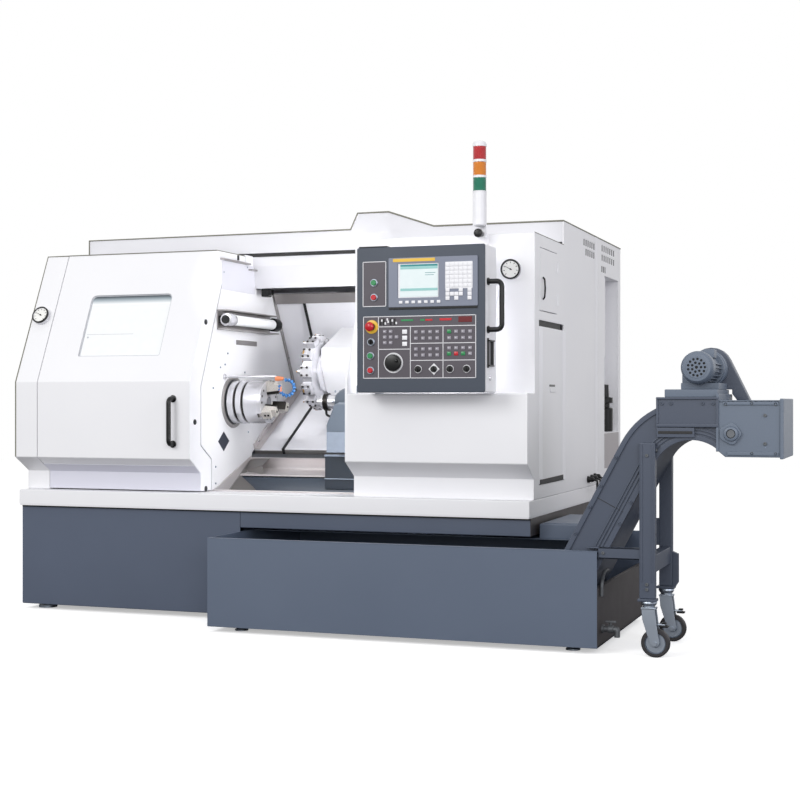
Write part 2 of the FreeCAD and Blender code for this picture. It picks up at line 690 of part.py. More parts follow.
cross_slide = new_body("turret_slide")
pad(cross_slide, "x", S.carriage_left + 7, S.carriage_right - 7,
    rectangle(262, 590, S.carriage_top + 0.5, S.carriage_top + 36))
pad(cross_slide, "x", S.carriage_left, S.carriage_right + 5,
    [(262, S.carriage_top + 35), (600, S.carriage_top + 35), (600, 96), (310, 130), (262, 52)])
pad(cross_slide, "x", S.disc_right + 1, S.carriage_left + 1, Ring(S.turret_centre, 0, 95))
pad(cross_slide, "x", S.carriage_right + 4, S.carriage_right + 150, Ring(430, 15, 62))
keep_slanted(cross_slide)

disc = new_body("turret_disc")
corner_radius = S.disc_radius / math.cos(math.radians(15))
corners = [(corner_radius * math.cos(math.radians(30 * k + 15)),
            corner_radius * math.sin(math.radians(30 * k + 15))) for k in range(12)]
pad(disc, "x", S.disc_left, S.disc_right, corners)
pad(disc, "x", S.disc_left - 14, S.disc_left + 1, Ring(0, 0, 62))
pad(disc, "x", S.disc_right - 1, S.disc_right + 0.5, Ring(0, 0, 80))
hole = pocket(disc, "x", S.disc_left - 1, S.disc_left + 12, Ring(118, 0, 9))
repeat_round(disc, [hole], S.station_count)
keep_slanted(disc, 0, S.turret_centre)

holders = new_body("tool_holders")
clamp = pad(holders, "x", S.disc_left, S.disc_right - 2,
            rectangle(S.disc_radius, S.disc_radius + 32, -29, 29))
shank = pad(holders, "x", S.disc_left + 13, S.disc_left + 37,
            rectangle(S.disc_radius + 20, S.disc_radius + 44, -12, 12))
bar_spot = ((S.disc_radius + 15) * cosine(30), (S.disc_radius + 15) * sine(30))
bar = pad(holders, "x", S.disc_left - 45, S.disc_left + 10, Ring(bar_spot[0], bar_spot[1], 8))
station = S.station_angle


def on_next_station(outward, sideways):
    """A point given outward and sideways from the flat that is one station on."""
    return (outward * cosine(station) - sideways * sine(station),
            outward * sine(station) + sideways * cosine(station))


socket = pad(holders, "x", S.disc_left, S.disc_right - 2,
             [on_next_station(S.disc_radius, -29), on_next_station(S.disc_radius + 32, -29),
              on_next_station(S.disc_radius + 32, 29), on_next_station(S.disc_radius, 29)])
repeat_round(holders, [clamp, shank, bar, socket], S.station_count / 2)
keep_slanted(holders, 0, S.turret_centre)

# ---------------------------------------------------------------- tailstock
tail = new_body("tail_casting")
turn(tail, "x", [(S.tail_left - 4, 0), (S.tail_left - 4, 37), (S.tail_left, 43), (S.tail_left + 26, 62),
                 (S.tail_left + 75, S.tail_radius - 8), (S.tail_left + 130, S.tail_radius),
                 (S.tail_right, S.tail_radius), (S.tail_right, 0)])
pad(tail, "x", S.tail_left + 10, S.tail_right - 10,
    [(-72, 0), (-72, -250), (-60, S.way_level - 7), (60, S.way_level - 7), (60, 0)])
QUILL_BORE = S.quill_radius + 0.5
pocket(tail, "x", S.tail_left - 5, S.tail_right - 20, Ring(0, 0, QUILL_BORE))
bind(tail, "Placement.Base.y", S.spindle_back)
bind(tail, "Placement.Base.z", S.spindle_height)
tail.Placement = Placement(Vector(0, S.spindle_back.number, S.spindle_height.number),
                           Rotation(Vector(1, 0, 0), S.bed_slant.number))
bind(tail, "Placement.Rotation.Angle", S.bed_slant)
apron = new_body("tail_apron")
pad(apron, "y", Size(300, "300"), Size(400, "400"),
    [(S.tail_left - 25, 769), (S.tail_left - 25, 902), (S.tail_left + 14, S.spindle_height - 14),
     (S.tail_left + 40, S.spindle_height), (S.tail_right - 10, S.spindle_height), (S.tail_right - 10, 769)])
pocket(apron, "x", S.tail_left - 26, S.tail_right - 20,
       Ring(S.spindle_back, S.spindle_height, QUILL_BORE))
keep(fuse("tailstock", tail, apron))

quill = new_body("quill")
turn(quill, "x", [(S.centre_tip + 40, 0), (S.centre_tip + 40, 28), (S.centre_tip + 44, S.quill_radius),
                  (S.tail_right - 90, S.quill_radius), (S.tail_right - 90, 0)])
turn(quill, "x", [(S.centre_tip + 39, 0), (S.centre_tip + 39, 12.5), (S.centre_tip + 78, 12.5),
                  (S.centre_tip + 78, 0)], cut=True)
keep(quill, 0, S.spindle_back, S.spindle_height)

centre = new_body("live_centre")
turn(centre, "x", [(S.centre_tip, 0), (S.centre_tip + 22, 12), (S.centre_tip + 24, 24),
                   (S.centre_tip + 38.5, 24), (S.centre_tip + 38.5, 12), (S.centre_tip + 76, 12),
                   (S.centre_tip + 76, 0)])
keep(centre, 0, S.spindle_back, S.spindle_height)

# ---------------------------------------------------------------- door
door = new_body("door_panel")
pad(door, "x", S.door_left, S.door_right,
    front_profile(Size(0, "0"), S.door_bottom)
    + [(S.door_roof_back, S.roof_height), (S.door_roof_back, S.roof_height - S.door_depth)]
    + front_profile(S.door_depth, S.door_bottom)[::-1])
pocket(door, "y", S.cover_face - 10, S.roof_front + 180,
       rounded(S.window_left, S.window_right, S.window_bottom, S.window_top, Size(18, "18")))
keep(door)


def slope_at(height, depth):
    """How far back the slope of the front profile lies at a height, behind depth."""
    lean = (S.roof_front - S.cover_face) / (S.roof_height - S.bend_height)
    return S.cover_face + (height - S.bend_height) * lean + depth


window = new_body("door_window")
pane_low = S.window_bottom + 0.5
pane_high = S.window_top - 0.5
pad(window, "y", S.cover_face - 10, S.roof_front + 80,
    rounded(S.window_left + 0.5, S.window_right - 0.5, pane_low, pane_high, Size(17.5, "17.5")))
pocket(window, "x", S.window_left, S.window_right,
       [(slope_at(pane_low - 1, 22), pane_low - 1), (slope_at(pane_high + 1, 22), pane_high + 1),
        (S.cover_face - 20, pane_high + 1), (S.cover_face - 20, pane_low - 1)],
       [(slope_at(pane_low - 1, 30), pane_low - 1), (S.roof_front + 90, pane_low - 1),
        (S.roof_front + 90, pane_high + 1), (slope_at(pane_high + 1, 30), pane_high + 1)])
keep(window)

GRIP_RADIUS = 11
grip_front = S.cover_face - 46
keep(bent_tube("door_handle",
               [(S.handle_middle, S.cover_face, S.handle_low + GRIP_RADIUS),
                (S.handle_middle, grip_front, S.handle_low + GRIP_RADIUS),
                (S.handle_middle, grip_front, S.handle_high - GRIP_RADIUS),
                (S.handle_middle, S.cover_face, S.handle_high - GRIP_RADIUS)], 20, GRIP_RADIUS))

# ---------------------------------------------------------------- side doors
upper_door = new_body("side_door_upper")
pad(upper_door, "x", right_end + 0.5, S.machine_length + 1,
    rectangle(S.upper_front + 2, S.upper_back - 2, S.upper_low + 2, S.upper_high - 2))
pad(upper_door, "x", S.machine_length, S.machine_length + 24,
    rectangle(S.upper_front + 50, S.upper_front + 62, S.upper_low + 50, S.upper_low + 135))


def hinge_leaf(door, back, low, high):
    """A leaf on the door's face with a knuckle on the hinge line just outside the wall."""
    line = S.machine_length + 5
    pad(door, "x", S.machine_length, S.machine_length + 3, rectangle(back - 30, back, low, high))
    pad(door, "z", low, high, Ring(line, back, 4))


hinge_leaf(upper_door, S.upper_back, S.upper_low + 40, S.upper_low + 90)
hinge_leaf(upper_door, S.upper_back, S.upper_high - 90, S.upper_high - 40)
keep(upper_door)
lower_door = new_body("side_door_lower")
pad(lower_door, "x", right_end + 0.5, S.machine_length + 1,
    rectangle(S.lower_front + 2, S.lower_back - 2, S.lower_low + 2, S.lower_high - 2))
pad(lower_door, "x", S.machine_length, S.machine_length + 8,
    rectangle(S.lower_front + 160, S.lower_front + 200, S.lower_low + 395, S.lower_low + 440))
hinge_leaf(lower_door, S.lower_back, S.lower_low + 80, S.lower_low + 140)
hinge_leaf(lower_door, S.lower_back, S.lower_high - 140, S.lower_high - 80)
keep(lower_door)

# ---------------------------------------------------------------- light, gauges and signal tower
LIGHT_HEIGHT = 1410
light = new_body("work_light")
turn(light, "y", [(214, 0), (214, 34), (264, 34), (264, 27), (760, 27), (760, 34), (810, 34), (810, 0)])
keep(light, S.door_right + 45, 0, LIGHT_HEIGHT)
for foot in (225, 765):
    bracket = pad(light, "y", Size(foot, str(foot)), Size(foot + 30, str(foot + 30)),
                  rectangle(-45, 0, -16, 16))

S.add("Pressure gauges", gauge_radius=44, left_gauge_along=62, left_gauge_height=1433,
      right_gauge_along=2468, right_gauge_height=1592)


def gauge(name, front):
    """A dial gauge whose dial looks along -y; its mounting face is at y = 0."""
    body = new_body(name)
    turn(body, "y", [(0, 0), (0, 30), (-8, 38), (-8, S.gauge_radius), (-28, S.gauge_radius),
                     (-28, S.gauge_radius - 6), (-22, S.gauge_radius - 8), (-22, 5), (-25, 5), (-25, 0)])
    return body


left_gauge = gauge("left_gauge", S.cover_face)
lean_angle = math.degrees(math.atan2(number(S.roof_front - S.cover_face),
                                     number(S.roof_height - S.bend_height)))
left_gauge.Placement = Placement(Vector(), Rotation(Vector(1, 0, 0), -lean_angle))
for axis, value in zip("xyz", (S.left_gauge_along, slope_at(S.left_gauge_height, 0), S.left_gauge_height)):
    bind(left_gauge, f"Placement.Base.{axis}", value)
right_gauge = gauge("right_gauge", S.wall_face)
for axis, value in zip("xyz", (S.right_gauge_along, S.wall_face, S.right_gauge_height)):
    bind(right_gauge, f"Placement.Base.{axis}", value)
keep(group("gauges", left_gauge, right_gauge))

bracket = new_body("tower_bracket")
pad(bracket, "y", S.wall_face - 6, S.wall_face,
    [(S.tower_along - 22, 1690), (S.tower_along + 22, 1690), (S.tower_along + 22, S.tower_pivot),
     Bend(23), (S.tower_along - 22, S.tower_pivot)], Ring(S.tower_along, S.tower_pivot, 7.5))
keep(bracket)

mast = new_body("tower_mast")
turn(mast, "z", [(S.tower_foot, 0), (S.tower_foot, 26), (S.tower_foot + 4, S.tower_radius),
                 (1931, S.tower_radius), (1931, 0)])
pad(mast, "y", Size(26, "26"), Size(40, "40"),
    [(-20, S.tower_pivot - 20), (20, S.tower_pivot - 20), (20, S.tower_foot + 10),
     (-20, S.tower_foot + 10)])
pad(mast, "y", Size(-24, "-24"), Size(27, "27"), Ring(0, S.tower_pivot, 12))
pad(mast, "y", Size(-30, "-30"), Size(-8, "-8"), Ring(0, S.tower_pivot, 19))
pad(mast, "y", Size(39, "39"), S.wall_face - S.tower_back - 6.5, Ring(0, S.tower_pivot, 14))
pad(mast, "y", Size(39, "39"), S.wall_face - S.tower_back - 0.5, Ring(0, S.tower_pivot, 7))

keep(mast, S.tower_along, S.tower_back, 0)
lenses = new_body("tower_lenses")
turn(lenses, "z", [(1931, 0), (1931, 29), (1991, 29), (1991, 30.5), (1999, 30.5), (1999, 29), (2060, 29),
                   (2060, 30.5), (2069, 30.5), (2069, 29), (2128, 29), (2128, 30.5),
                   (S.tower_top - 8, 30.5), (S.tower_top, 22), (S.tower_top, 0)])
keep(lenses, S.tower_along, S.tower_back, 0)

# ---------------------------------------------------------------- operator panel
panel = new_body("panel_shell")
pad(panel, "y", S.panel_front, S.panel_back,
    rounded(S.panel_left, S.panel_right, S.panel_bottom, S.panel_top, Size(10, "10")))
S.add("Layout of the operator panel", unit_left=2000, unit_right=2400, unit_low=1418, unit_high=1630,
      screen_left=2055, screen_right=2223, screen_low=1461, screen_high=1601, plate_left=1882,
      plate_right=2392, plate_low=1100, plate_high=1389, switch_left=1880, switch_right=1988,
      switch_low=1423, switch_high=1618)
RECESS = 3
pocket(panel, "y", S.panel_front - 1, S.panel_front + RECESS,
       rectangle(S.plate_left, S.plate_right, S.plate_low, S.plate_high),
       rectangle(S.switch_left, S.switch_right, S.switch_low, S.switch_high),
       rectangle(S.unit_left, S.unit_right, S.unit_low, S.unit_high))
ears = [pad(panel, "z", S.panel_bottom + 40 + 500 * k, S.panel_bottom + 90 + 500 * k,
            rectangle(S.pivot_along - 22, S.pivot_along + 22, S.panel_back - 2, S.pivot_back + 22))
        for k in range(2)]
pocket(panel, "z", S.panel_bottom - 2, S.panel_top + 2,
       Ring(S.pivot_along, S.pivot_back, Size(POST_RADIUS + 0.5, str(POST_RADIUS + 0.5))))
face = S.panel_front + RECESS
for along, height, radius in ((1916, 1338, 13), (1916, 1211, 12), (1916, 1148, 12), (2021, 1180, 10),
                              (2133, 1152, 8), (2205, 1152, 8), (2276, 1152, 8), (2350, 1152, 8)):
    pocket(panel, "y", face - 1, face + 24, Ring(along, height, radius))
for along, height in ((1918, 1271), (1932, 1526), (1932, 1463)):
    pad(panel, "y", face - 12, face + 1, Ring(along, height, 12))

unit = new_body("unit_front")
unit_face = S.panel_front - 6
pad(unit, "y", unit_face, face,
    rounded(S.unit_left + 0.5, S.unit_right - 0.5, S.unit_low + 0.5, S.unit_high - 0.5, Size(4, "4")))
pocket(unit, "y", unit_face - 1, unit_face + 4,
       rectangle(S.screen_left, S.screen_right, S.screen_low, S.screen_high))


def key_block(name, left, low, across, up, columns, rows, surface, width, tall):
    """A block of keys that stand on a surface, one box for each."""
    keys = []
    for column in range(columns):
        for row in range(rows):
            start = S.unit_left + (left + across * column)
            bottom = S.plate_low + (low + up * row)
            keys.append(block(f"{name}_{len(keys)}", (start, start + width),
                              (surface - 3, surface + 0.5), (bottom, bottom + tall)))
    return keys


unit_keys = key_block("soft_key", 48, 336, 27.4, 20, 7, 1, unit_face, 13, 10)
unit_keys += key_block("letter_key", 262, 346, 19.4, 17.8, 6, 9, unit_face, 16, 14)
plate_keys = key_block("power_key", 66, 162, 0, 26, 1, 3, face, 14, 12)
plate_keys += key_block("mode_key", 104, 96, 24, 24, 4, 5, face, 19, 17)
plate_keys += key_block("move_key", 214, 96, 24, 24, 6, 5, face, 19, 17)
keep(fuse("control_unit", unit, *unit_keys))
keep(fuse("panel_box", panel, *plate_keys))

grip_right = S.panel_right + 62
keep(bent_tube("panel_handle",
               [(S.panel_right, -180, 1318), (grip_right, -180, 1318), (grip_right, -180, 1522),
                (S.panel_right, -180, 1522)], 22, 11))

wheel = new_body("handwheel")
turn(wheel, "y", [(23, 0), (23, 9.5), (-1, 9.5), (-1, 36), (-20, 34), (-22, 30), (-22, 0)])
pad(wheel, "y", Size(-34, "-34"), Size(-21, "-21"), Ring(21, 8, 6))
keep(wheel, 2021, face, 1180)

emergency = new_body("emergency_stop")
turn(emergency, "y", [(16, 0), (16, 12), (-8, 12), (-14, 20), (-24, 20), (-28, 16), (-28, 0)])
keep(emergency, 1916, face, 1338)

for index, along in enumerate((2133, 2205, 2276, 2350)):
    dial = new_body(f"dial_{index + 1}")
    turn(dial, "y", [(20, 0), (20, 7.5), (-1, 7.5), (-1, 14), (-16, 12.5), (-16, 0)])
    pad(dial, "y", Size(-22, "-22"), Size(-15, "-15"), rectangle(-3, 3, -12, 12))
    keep(dial, along, face, 1152)

for name, along, height in (("cycle_start", 1916, 1211), ("feed_hold", 1916, 1148)):
    button = new_body(name)
    turn(button, "y", [(20, 0), (20, 11.5), (-10, 11.5), (-12, 9.5), (-12, 0)])
    keep(button, along, face, height)

# ---------------------------------------------------------------- coolant tank
tank = new_body("coolant_tank")
pad(tank, "z", S.base_bottom, S.tank_top, rectangle(S.tank_left, S.tank_right, S.tank_front, S.tank_back))
pocket(tank, "z", S.base_bottom + 8, S.tank_top + 1,
       rectangle(S.tank_left + S.tank_wall, S.tank_right - S.tank_wall, S.tank_front + S.tank_wall,
                 S.tank_back - S.tank_wall))
pad(tank, "z", S.tank_top - 4, S.tank_top,
    rectangle(S.tank_left + 1, S.tank_right - 60, S.casing_back + 15, S.tank_back - 1))
pocket(tank, "x", S.tank_right - 7, S.tank_right + 1,
       rectangle(S.tank_front + S.tank_wall, S.tank_back + 1, S.tank_side_top, S.tank_top + 1))
pad(tank, "z", S.tank_top - 1, S.tank_top + 65,
    rectangle(S.machine_length + 13, S.machine_length + 218, S.casing_back + 17, S.tank_back - 10))
for along in (S.tank_left + 120, S.tank_right - 120):
    for back in (S.tank_front + 100, S.tank_back - 100):
        pad(tank, "z", Size(0, "0"), S.base_bottom + 1, Ring(along, back, 30))
pad(tank, "x", S.tank_right - 1, S.tank_right + 62, Ring(-265, 92, 12))
pad(tank, "x", S.tank_right + 14, S.tank_right + 44, rectangle(-284, -246, 72, 112))
keep(tank)


# ---------------------------------------------------------------- chip conveyor
def conveyor_outline(inset, tail, head):
    """Side view of the conveyor from its tail to its head, moved in by inset."""
    outer = S.arch_radius + S.casing_depth - inset
    inner = S.arch_radius + inset
    foot_rise = S.run_bottom + S.casing_depth + S.arch_radius
    across, up = sine(S.climb_angle), cosine(S.climb_angle)
    reach = head - S.arch_along
    outer_rise = Size(math.sqrt(number(outer) ** 2 - number(reach) ** 2),
                      f"sqrt(pow({formula(outer)}; 2) - pow({formula(reach)}; 2))")
    inner_rise = Size(math.sqrt(number(inner) ** 2 - number(reach) ** 2),
                      f"sqrt(pow({formula(inner)}; 2) - pow({formula(reach)}; 2))")
    return [(tail, S.run_bottom + inset), (S.foot_along, S.run_bottom + inset), Bend(outer),
            (S.foot_along + outer * across, foot_rise - outer * up),
            (S.arch_along - inner * across, S.arch_height + inner * up), Bend(inner, False),
            (S.arch_along, S.arch_height + inner), Bend(inner, False),
            (head, S.arch_height + inner_rise), (head, S.arch_height + outer_rise), Bend(outer),
            (S.arch_along, S.arch_height + outer), Bend(outer),
            (S.arch_along - outer * across, S.arch_height + outer * up),
            (S.foot_along + inner * across, foot_rise - inner * up), Bend(inner, False),
            (S.foot_along, foot_rise - inner), (tail, foot_rise - inner)]


casing = new_body("conveyor_casing")
pad(casing, "y", S.casing_front, S.casing_back,
    conveyor_outline(Size(0, "0"), S.run_left, S.head_left))
pad(casing, "y", S.casing_front - 10, S.casing_back + 10,
    rectangle(Size(3169, "3169"), S.head_left, Size(913, "913"), Size(1031, "1031")))
pocket(casing, "y", S.casing_front + 6, S.casing_back - 6,
       conveyor_outline(Size(6, "6"), S.run_left + 6, S.head_left + 1))
pocket(casing, "z", S.run_bottom + 100, S.run_bottom + 160,
       rectangle(S.run_left + 30, S.foot_along - 60, S.casing_front + 12, S.casing_back - 12))
keep(casing)

belt = new_body("conveyor_belt")
pad(belt, "y", S.casing_front + 18, S.casing_back - 18,
    conveyor_outline(Size(26, "26"), S.run_left + 26, S.head_left - 2))
pocket(belt, "y", S.casing_front + 17, S.casing_back - 17,
       conveyor_outline(Size(36, "36"), S.run_left + 36, S.head_left - 12))
keep(belt)

head = new_body("conveyor_head")
pad(head, "y", S.casing_front - 12, S.casing_back + 12,
    [(S.head_left, 818), (3438, S.head_bottom), (S.head_right, S.head_bottom), (S.head_right, S.head_top),
     (S.head_left + 10, S.head_top), (S.head_left + 10, 1044), (S.head_left, 1044)])
pad(head, "y", S.casing_front - 18, S.casing_back + 18,
    rectangle(S.head_right - 14, S.head_right, S.head_bottom - 6, S.head_top + 6))
pocket(head, "y", S.casing_front, S.casing_back,
       [(S.head_left - 1, 840), (3446, S.head_bottom - 7), (S.head_right - 20, S.head_bottom - 7),
        (S.head_right - 20, S.head_top - 8), (S.head_left + 12, S.head_top - 8),
        (S.head_left + 12, 1000), (S.head_left - 1, 1000)])
SHAFT_RADIUS = 17
pad(head, "y", S.casing_front - 34, S.casing_front - 11, Ring(S.shaft_along, S.shaft_height, 44))
pocket(head, "y", S.casing_front - 35, S.casing_back + 20,
       Ring(S.shaft_along, S.shaft_height, Size(SHAFT_RADIUS + 0.5, str(SHAFT_RADIUS + 0.5))))
keep(head)

shaft = new_body("conveyor_shaft")
turn(shaft, "y",
     [(S.casing_front - 32, 0), (S.casing_front - 32, SHAFT_RADIUS), (S.casing_front + 40, SHAFT_RADIUS),
      (S.casing_front + 40, 50), (S.casing_front + 52, 50), (S.casing_front + 52, SHAFT_RADIUS),
      (S.casing_back - 52, SHAFT_RADIUS), (S.casing_back - 52, 50), (S.casing_back - 40, 50),
      (S.casing_back - 40, SHAFT_RADIUS), (S.casing_back + 30, SHAFT_RADIUS), (S.casing_back + 30, 0)])
keep(shaft, S.shaft_along, 0, S.shaft_height)

motor = new_body("conveyor_motor")
MOTOR_ALONG, MOTOR_HEIGHT = 3327, 1148
turn(motor, "y", [(-330, 0), (-330, 38), (-326, 38), (-326, 50), (-322, 62), (-300, 65), (-250, 65),
                  (-250, 60), (-60, 60), (-60, 72), (-40, 72), (-40, 78), (28, 78), (28, 0)])
pad(motor, "y", Size(-240, "-240"), Size(20, "20"), rectangle(-75, 75, -85, -50))
pad(motor, "z", Size(45, "45"), Size(88, "88"), rectangle(5, 62, -190, -90))
keep(motor, MOTOR_ALONG, 0, MOTOR_HEIGHT)
pad(motor, "y", Size(-300, "-300"), Size(60, "60"), rectangle(-110, 78, -112, -85))
pad(motor, "y", Size(-300, "-300"), Size(60, "60"), rectangle(-110, -100, -117, -112))

guard = new_body("chain_guard")
pad(guard, "y", Size(30, "30"), Size(96, "96"),
    [(3492, S.head_top), (3409.8, 1187.2), Bend(88), (3242, 1150), (3242, 1064), (3420, 1064),
     (3420, 1046), (3440, S.head_top)])
keep(guard)

legs = []
for index, (front, back) in enumerate(((S.casing_front - 38, S.casing_front),
                                       (S.casing_back, S.casing_back + 40))):
    post = block(f"leg_post_{index}", (S.leg_left, S.leg_right), (front, back),
                 (S.leg_bottom, Size(835, "835")))
    foot = block(f"leg_foot_{index}", (S.leg_left - 6, S.leg_right + 6), (front - 6, back + 6),
                 (S.leg_bottom - 11, S.leg_bottom))
    legs += [post, foot]
legs.append(block("leg_tie", (S.tank_right + 2, S.leg_left + 1), (S.casing_front - 30, S.casing_front),
                  (S.tank_top - 30, S.tank_top + 16)))
legs.append(block("leg_tie_end", (Size(2892, "2892"), S.tank_right + 3),
                  (S.casing_front - 30, S.casing_front), (S.tank_top, S.tank_top + 16)))
legs.append(block("leg_brace", (S.leg_left + 10, S.leg_right - 10), (S.casing_front - 1, S.casing_back + 1),
                  (Size(330, "330"), Size(400, "400"))))
keep(fuse("conveyor_legs", *legs))

for index, back in enumerate((S.casing_front - 10, S.casing_back + 10)):
    fork = new_body(f"caster_fork_{index + 1}")
    fork_top = S.leg_bottom - 11.5
    turn(fork, "z", [(fork_top, 0), (fork_top, 30), (fork_top - 14, 30), (fork_top - 18, 25),
                     (fork_top - 26, 25), (fork_top - 26, 0)])
    trail = S.wheel_along - S.caster_along
    for side in (-1, 1):
        near = Size(21 * side, str(21 * side))
        far = Size(26 * side, str(26 * side))
        pad(fork, "y", *((near, far) if side > 0 else (far, near)),
            [(-24, fork_top - 20), (trail - 16, S.wheel_radius - 12), (trail + 16, S.wheel_radius - 12),
             (trail + 22, S.wheel_radius + 14), (26, fork_top - 20)])
    pad(fork, "z", fork_top - 30, fork_top - 20, rectangle(-24, 26, -26, 26))
    pad(fork, "y", Size(-34, "-34"), Size(34, "34"), Ring(trail, S.wheel_radius, 6))
    keep(fork, S.caster_along, back, 0)
    tyre = new_body(f"caster_wheel_{index + 1}")
    turn(tyre, "y", [(-18, 6.5), (-18, 40), (-15, 42), (-15, S.wheel_radius - 3), (-12, S.wheel_radius),
                     (12, S.wheel_radius), (15, S.wheel_radius - 3), (15, 42), (18, 40), (18, 6.5)])
    keep(tyre, S.wheel_along, back, S.wheel_radius)

# ---------------------------------------------------------------- coolant nozzle by the chuck
keep(bent_tube("coolant_hose",
               [(S.door_right, 290, 1135), (1195, 290, 1135), (1248, 290, 1122), (1279, 290, 1073),
                (1255, 290, 1032)], 18, 9))

# ---------------------------------------------------------------- check and write
document.recompute()
broken = [thing.Label for thing in document.Objects if {"Invalid", "Error"} & set(thing.State)]
for thing in kept:
    if thing.Shape.isNull() or not thing.Shape.isValid():
        broken.append(thing.Label)
if broken:
    raise SystemExit(f"these objects failed: {broken}")

os.makedirs("parts", exist_ok=True)
for thing in kept:
    thing.Shape.exportStep(f"parts/{thing.Label}.step")
print(f"{len(kept)} nodes written")
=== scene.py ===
# %% [markdown]
# # A turning lathe in its enclosure
# The machine is a slant-bed lathe: white sheet-metal covers on a slate-grey base, a sliding
# door, a chamber of polished way covers, a swivelling operator panel and a chip conveyor.
# The solids from the CAD step give every piece its place. This lesson dresses them: it
# rebuilds the visible pieces with rounded folds, seams and fasteners, and gives each one
# the finish of the real material. Each piece prints its name, its body and its faces.

# %% The frame that everything rides on
import bpy
import bmesh
import math
from mathutils import Matrix, Vector


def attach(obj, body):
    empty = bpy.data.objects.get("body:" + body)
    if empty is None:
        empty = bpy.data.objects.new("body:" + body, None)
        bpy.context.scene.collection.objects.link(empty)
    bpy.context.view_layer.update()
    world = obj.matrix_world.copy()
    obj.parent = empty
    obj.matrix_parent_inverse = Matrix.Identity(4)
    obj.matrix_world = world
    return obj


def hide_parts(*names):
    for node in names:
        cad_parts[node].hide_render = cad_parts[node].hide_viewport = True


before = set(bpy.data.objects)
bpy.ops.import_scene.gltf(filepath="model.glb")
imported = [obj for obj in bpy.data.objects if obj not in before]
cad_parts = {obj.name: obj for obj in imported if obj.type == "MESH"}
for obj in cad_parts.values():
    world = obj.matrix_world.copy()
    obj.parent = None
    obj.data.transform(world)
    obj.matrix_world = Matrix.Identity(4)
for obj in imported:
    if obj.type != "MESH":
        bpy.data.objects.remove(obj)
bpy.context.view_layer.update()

# %% [markdown]
# ## Frames to draw in
# The workshop drawing measures in millimetres from the left front corner of the base, so
# the pieces are drawn that way too and moved into place at the end. Pieces on the slanted
# bed, on the door's slope and on the turret each get a frame of their own, because a box
# that is square to its frame is easier to draw than a tilted one.

# %% Drawing frames
MACHINE = Matrix.Translation((-1.830, -0.799, 0)) @ Matrix.Scale(0.001, 4)
SPINDLE_BACK, SPINDLE_UP = 390, 1012
SLANT_DEGREES = 30
SPINDLE = MACHINE @ Matrix.Translation((0, SPINDLE_BACK, SPINDLE_UP))
SLANT = SPINDLE @ Matrix.Rotation(math.radians(SLANT_DEGREES), 4, "X")
TURRET = SLANT @ Matrix.Translation((0, 300, 0))
SLANT_IN_DRAWING = MACHINE.inverted() @ SLANT
SLOPE_ANGLE = math.atan2(1745 - 1109, 222 + 60)
SLOPE = MACHINE @ Matrix.Translation((0, -60, 1109)) @ Matrix.Rotation(SLOPE_ANGLE, 4, "X")
print("door slope", round(math.degrees(SLOPE_ANGLE), 1), "degrees above the floor")

# %% [markdown]
# ## Finishes
# Every finish starts from a real material and from how its surface was made. Powder coat
# has a fine orange peel, polished sheet has long rolling marks, moulded plastic has a faint
# grain. The patterns read Object coordinates, in metres, so their scale is a real size.


# %% Helpers for materials
def linear(colour, alpha=1.0):
    """An sRGB hex colour as the linear numbers that the shader works in."""
    parts = [int(colour[place:place + 2], 16) / 255 for place in (1, 3, 5)]
    return tuple(p / 12.92 if p <= 0.04045 else ((p + 0.055) / 1.055) ** 2.4
                 for p in parts) + (alpha,)


def add_node(tree, kind, inputs=None, **settings):
    """Adds a node, sets its settings, and fills its inputs with numbers or links."""
    node = tree.nodes.new(kind)
    for name, value in settings.items():
        setattr(node, name, value)
    for socket, value in (inputs or {}).items():
        if isinstance(value, bpy.types.NodeSocket):
            tree.links.new(value, node.inputs[socket])
        else:
            node.inputs[socket].default_value = value
    return node


usual_slot = {}


def start_finish(name, slot, **sockets):
    """A new material with plain values on its shader, and the slot that it usually fills.

    Returns the material, its tree, its shader and the coordinates for its patterns.
    """
    material = bpy.data.materials.new(name)
    usual_slot[material.name] = slot
    material.use_nodes = True
    tree = material.node_tree
    shader = tree.nodes["Principled BSDF"]
    for socket, value in sockets.items():
        shader.inputs[socket.replace("_", " ")].default_value = value
    return material, tree, shader, add_node(tree, "ShaderNodeTexCoord").outputs["Object"]


def two_tones(tree, factor, first, second):
    """A colour that drifts between two tones."""
    mix = add_node(tree, "ShaderNodeMix", {0: factor, 6: linear(first), 7: linear(second)},
                   data_type="RGBA")
    return mix.outputs[2]


# %% [markdown]
# ### Powder coat
# The covers and the base are steel sheet with a baked powder coat. It is a dielectric skin
# of about IOR 1.5, smooth but never a mirror: its peel is a wave of 2 to 3 mm that blurs
# reflections. The tone drifts a little across a metre of sheet.


# %% Powder coat
def powder_coat(name, slot, colour, shade, roughness, peel_mm=2.5, depth=0.12):
    """Baked powder: soft gloss, fine peel, and a slow drift between two tones."""
    material, tree, shader, place = start_finish(name, slot, IOR=1.5)
    drift = add_node(tree, "ShaderNodeTexNoise", {"Vector": place, "Scale": 1.7, "Detail": 3.0})
    tree.links.new(two_tones(tree, drift.outputs[0], colour, shade), shader.inputs["Base Color"])
    haze = add_node(tree, "ShaderNodeTexNoise", {"Vector": place, "Scale": 9.0, "Detail": 2.0})
    gloss = add_node(tree, "ShaderNodeMapRange",
                     {"Value": haze.outputs[0], "To Min": roughness - 0.05,
                      "To Max": roughness + 0.06})
    tree.links.new(gloss.outputs[0], shader.inputs["Roughness"])
    peel = add_node(tree, "ShaderNodeTexNoise",
                    {"Vector": place, "Scale": 1000 / peel_mm, "Detail": 1.0})
    bump = add_node(tree, "ShaderNodeBump",
                    {"Height": peel.outputs[0], "Strength": depth, "Distance": 0.0004})
    tree.links.new(bump.outputs[0], shader.inputs["Normal"])
    return material


